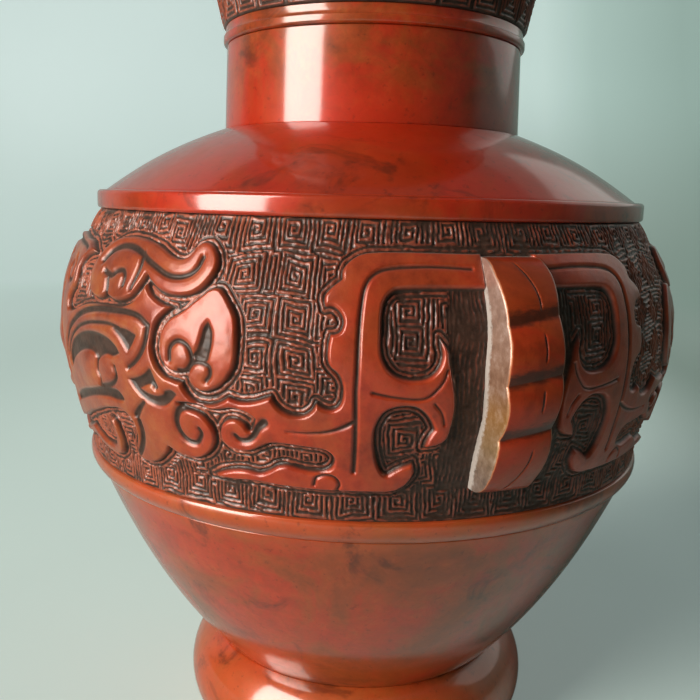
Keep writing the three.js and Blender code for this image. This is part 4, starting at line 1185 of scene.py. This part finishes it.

# %% [markdown]
# ## Lug handles
# Each lug is a solid bar on the belly, notched across its face into four lobes. The notches slant a
# little and are soft, with dark patina in them and painted shade on the underside of the lobe over each,
# and each lobe has a thin upright cut. The flat sides are rubbed to the metal, in pinkish grey and gold,
# with a pale worn edge where they meet the belly and an orange rim along the face. The bar is a grid too:
# rows up its height, and one column for each point of its rounded cross-section.

# %% Lug patina


def lug_patina():
    """Red patina on the face, and on the flat sides bronze that is rubbed bare where 'rub' is high."""
    made, tree, place = new_material("red patina rubbed to bare bronze on the sides")
    rub, notch, stand = [
        add(tree, "ShaderNodeAttribute", attribute_name=name).outputs["Fac"]
        for name in ("rub", "notch", "stand")
    ]
    # Bare bronze: a tint by height, blotches over it, and a pale edge by the belly.
    up = add(tree, "ShaderNodeSeparateXYZ", [place]).outputs["Z"]
    tint = add(tree, "ShaderNodeMapRange", [up, 95 * MM, 143 * MM], interpolation_type="SMOOTHSTEP")
    tint = add(tree, "ShaderNodeValToRGB", [tint], stops=[
        (0.0, "#827A74"), (0.14, "#A08458"), (0.32, "#B67E2C"), (0.5, "#A87C60"), (1.0, "#C09C90"),
    ])
    blotch = add(tree, "ShaderNodeTexNoise", [place, 1 / (3 * MM), 5.0, 0.68])
    blotch = add(tree, "ShaderNodeValToRGB", [blotch], stops=[
        (0.34, "#6C4838"), (0.5, "#A8806C"), (0.66, "#D8BCB0"),
    ])
    bare = add(tree, "ShaderNodeMix", [0.45, tint, blotch], data_type="RGBA")
    ragged = add(tree, "ShaderNodeTexNoise", [place, 1 / (1.0 * MM), 4.0, 0.7])
    ragged = add(tree, "ShaderNodeMath", [ragged, 0.30], operation="MULTIPLY")
    edge = add(tree, "ShaderNodeMath", [stand, ragged], operation="SUBTRACT")
    edge = add(tree, "ShaderNodeMapRange", [edge, -0.10, 0.02, 1.0, 0.0], interpolation_type="SMOOTHSTEP")
    edge = add(tree, "ShaderNodeMath", [edge, 0.85], operation="MULTIPLY")
    bare = add(tree, "ShaderNodeMix", [edge, bare, "#F0E2DA"], data_type="RGBA")
    # The face: red, with dark patina and painted shade smeared unevenly over the notches, the shade on the
    # underside of the lobe above each.
    red = add(tree, "ShaderNodeMix", [0.45, patina_colour(tree, place), "#A63410"], data_type="RGBA")
    dark_patina_and_shade = add(tree, "ShaderNodeTexNoise", [place, 1 / (1.5 * MM), 4.0, 0.7])
    dark_patina_and_shade = add(tree, "ShaderNodeMix", [dark_patina_and_shade, "#22100A", "#4A2416"], data_type="RGBA")
    streak = add(tree, "ShaderNodeMapping", {"Vector": place, "Scale": (0.35, 0.35, 1.0)})
    streak = add(tree, "ShaderNodeTexNoise", [streak, 1 / (1.4 * MM), 4.0, 0.7])
    streak = add(tree, "ShaderNodeMapRange", [streak, 0.3, 0.7, -0.22, 0.22], interpolation_type="SMOOTHSTEP")
    patina_and_notch_shade = add(tree, "ShaderNodeMath", [notch, streak], operation="ADD")
    patina_and_notch_shade = add(tree, "ShaderNodeMapRange", [patina_and_notch_shade, 0.15, 0.95, 0.0, 0.88], interpolation_type="SMOOTHSTEP")
    face = add(tree, "ShaderNodeMix", [patina_and_notch_shade, red, dark_patina_and_shade], data_type="RGBA")
    # From the face over an orange rim to the bare side, with a speckled border.
    speckle = add(tree, "ShaderNodeTexNoise", [place, 1 / (2.5 * MM), 3.0, 0.6])
    shift = add(tree, "ShaderNodeMapRange", [speckle, 0.2, 0.8, -0.18, 0.18], interpolation_type="SMOOTHSTEP")
    rubbed = add(tree, "ShaderNodeMath", [rub, shift], operation="ADD")
    to_rim = add(tree, "ShaderNodeMapRange", [rubbed, 0.15, 0.45], interpolation_type="SMOOTHSTEP")
    to_bare = add(tree, "ShaderNodeMapRange", [rubbed, 0.5, 0.8], interpolation_type="SMOOTHSTEP")
    colour = add(tree, "ShaderNodeMix", [to_rim, face, "#CC7A52"], data_type="RGBA")
    colour = add(tree, "ShaderNodeMix", [to_bare, colour, bare], data_type="RGBA")
    metal = add(tree, "ShaderNodeMapRange", [rubbed, 0.5, 0.8, 0.12, 0.45], interpolation_type="SMOOTHSTEP")
    rough = add(tree, "ShaderNodeMapRange", [speckle, 0.2, 0.8, 0.32, 0.45], interpolation_type="SMOOTHSTEP")
    grain = add(tree, "ShaderNodeTexNoise", [place, 1 / (1.0 * MM), 4.0, 0.65])
    bump = add(tree, "ShaderNodeBump", {"Height": grain, "Strength": 0.35, "Distance": 0.12 * MM})
    shader = add(tree, "ShaderNodeBsdfPrincipled", {
        "Base Color": colour, "Metallic": metal, "Roughness": rough, "Normal": bump,
        "Specular IOR Level": 0.3, "Coat Weight": 0.5, "Coat Roughness": 0.2,
    })
    add(tree, "ShaderNodeOutputMaterial", [shader])
    return made


LUG = lug_patina()
print("material:", LUG.name)

# %% Lug sizes
LUG_FOOT = 95.1
LUG_TOP = 143.7
LUG_HALF = 6.1
LUG_REACH = 8.2
LUG_ROUNDING = 0.6
LUG_CROWN = 0.5
LUG_ROOT = 3.5
NOTCHES = [109.5, 120.9, 132.3]
NOTCH_DEPTHS = [1.5, 1.1, 0.9]
END_DEPTHS = (1.0, 0.8)
NOTCH_SLANT = 0.16
DASH_DEPTH = 0.35

# Thin upright cuts in the lobes: (height, place across) at both ends and in the middle.
DASHES = [
    [(96.2, -1.4), (100.5, 0.6), (106.4, 1.6)], [(114.6, 1.5), (116.8, 1.5), (119.0, 1.6)],
    [(124.6, 1.5), (127.2, 1.6), (130.0, 1.4)], [(134.4, 1.6), (138.6, 1.0), (143.0, -1.2)],
]
print("lobes:", len(NOTCHES) + 1, "over", round(LUG_TOP - LUG_FOOT, 1), "mm")

# %% Lug shape


def lug_reach(z):
    """How far the lug's face stands out of the band at each height, with its notches."""
    ends = [LUG_FOOT] + NOTCHES + [LUG_TOP]
    depths = [END_DEPTHS[0]] + NOTCH_DEPTHS + [END_DEPTHS[1]]
    reach = np.zeros_like(z)
    for low, high, under, over in zip(ends[:-1], ends[1:], depths[:-1], depths[1:]):
        inside = (z >= low) & (z <= high)
        t = (z[inside] - low) / (high - low)
        # Each lobe is fullest above its middle and falls back sharply into the notch over it.
        bulge = np.sin(math.pi * t ** 1.2) ** 0.75
        reach[inside] = LUG_REACH - (under + (over - under) * t) * (1 - bulge)
    part_up = (z - LUG_FOOT) / (LUG_TOP - LUG_FOOT)
    fullness = np.where(part_up < 0.5, 0.27, 0.31)
    return reach * np.clip(np.sin(math.pi * part_up), 0, 1) ** fullness


def lug_section():
    """For each point of the cross-section: its place across, its drop at a corner, its sink to the root."""
    corner = np.linspace(0.15, math.pi / 2, 7)
    edge = -LUG_HALF + LUG_ROUNDING * (1 - np.cos(corner))
    fall = LUG_ROUNDING * (1 - np.sin(corner))
    middle = np.linspace(-LUG_HALF + LUG_ROUNDING, LUG_HALF - LUG_ROUNDING, 75)[1:-1]
    flat = np.ones(12)
    across = np.concatenate([-LUG_HALF * flat, edge, middle, -edge[::-1], LUG_HALF * flat])
    drop = np.concatenate([LUG_ROUNDING * flat, fall, 0 * middle, fall[::-1], LUG_ROUNDING * flat])
    sink = np.concatenate([np.linspace(1, 0, 12), 0 * edge, 0 * middle, 0 * edge, np.linspace(0, 1, 12)])
    return across, drop, sink


def dash_depth(rows, across):
    """How deep a point lies in the thin upright cuts, from 0 to 1."""
    dash = np.zeros((len(rows), len(across)))
    for points in DASHES:
        middle = np.polynomial.Polynomial.fit(*np.transpose(points), 2)(rows)
        low, high = points[0][0], points[2][0]
        ends = smoothstep(low - 0.3, low + 0.8, rows) * smoothstep(0.3, -0.8, rows - high)
        beside = abs(across[None, :] - middle[:, None])
        dash = np.maximum(dash, smoothstep(0.30, 0.06, beside) * ends[:, None])
    return dash


def lug_mesh(name):
    """The bar as a grid: rows up its height, columns round its section from one side to the other."""
    rows = np.linspace(LUG_FOOT, LUG_TOP, 260)
    rows[0] += 1e-3
    rows[-1] -= 1e-3
    across, drop, sink = lug_section()
    # The notches slant a little, so each column reads its lobes from a shifted height.
    inner = smoothstep(0, 4, rows - LUG_FOOT) * smoothstep(0, 4, LUG_TOP - rows)
    slanted = rows[:, None] - NOTCH_SLANT * across[None, :] * inner[:, None]
    reach = lug_reach(slanted)
    wall = band_radius(rows)[:, None]
    crown = LUG_CROWN * (1 - (across / LUG_HALF) ** 2)
    tip = wall + reach + (crown - drop)[None, :] * np.minimum(reach / 4, 1) - LUG_CROWN
    root = wall - LUG_ROOT
    dash = dash_depth(rows, across)
    x = root + (tip - root) * (1 - sink)[None, :] - DASH_DEPTH * dash
    y = across[None, :] + 0.2 * np.sin(rows / 3.1)[:, None] * np.clip(across / LUG_HALF, -1, 1)[None, :]
    z = rows[:, None] + 0 * x
    # Just over each notch, a dark band: the notch's dark patina and painted shade on the underside of the
    # lobe above it.
    notch = np.max([
        np.exp(-((slanted - n - 0.8) / np.where(slanted < n + 0.8, 1.5, 1.9)) ** 2) for n in NOTCHES
    ], axis=0)
    tones = {
        "rub": np.clip(1 - (LUG_HALF - abs(across)) / 0.55, 0, 1)[None, :] + 0 * x,
        "notch": np.maximum(notch * (sink == 0)[None, :], dash),
        "stand": np.clip((x - wall + RELIEF_HEIGHT) / 9, 0, 1),
    }
    n, cols = x.shape
    k = np.arange(n * cols).reshape(n, cols)
    quads = np.stack([k[:-1, :-1], k[:-1, 1:], k[1:, 1:], k[1:, :-1]], -1).reshape(-1, 4).tolist()
    back = np.stack([k[:-1, 0], k[1:, 0], k[1:, -1], k[:-1, -1]], -1).tolist()
    made = bpy.data.meshes.new(name)
    made.from_pydata(np.stack([x, y, z], -1).reshape(-1, 3) * MM, [],
                     quads + back + [k[0, ::-1].tolist(), k[-1].tolist()])
    smooth = np.ones(len(made.polygons), bool)
    smooth[len(quads):] = False
    made.polygons.foreach_set("use_smooth", smooth)
    for label, values in tones.items():
        layer = made.attributes.new(label, "FLOAT", "POINT")
        layer.data.foreach_set("value", values.astype(np.float32).ravel())
    return made


for side, turn in (("right", 0.0), ("left", math.pi)):
    name = f"lug_handle_{side}"
    made = bake(name, lug_mesh(f"lug_{side}_bar"), QUARTER, {"Mirror": False, "Turn": turn, "Finish": LUG})
    place_piece(name, made, f"lug_{side}")
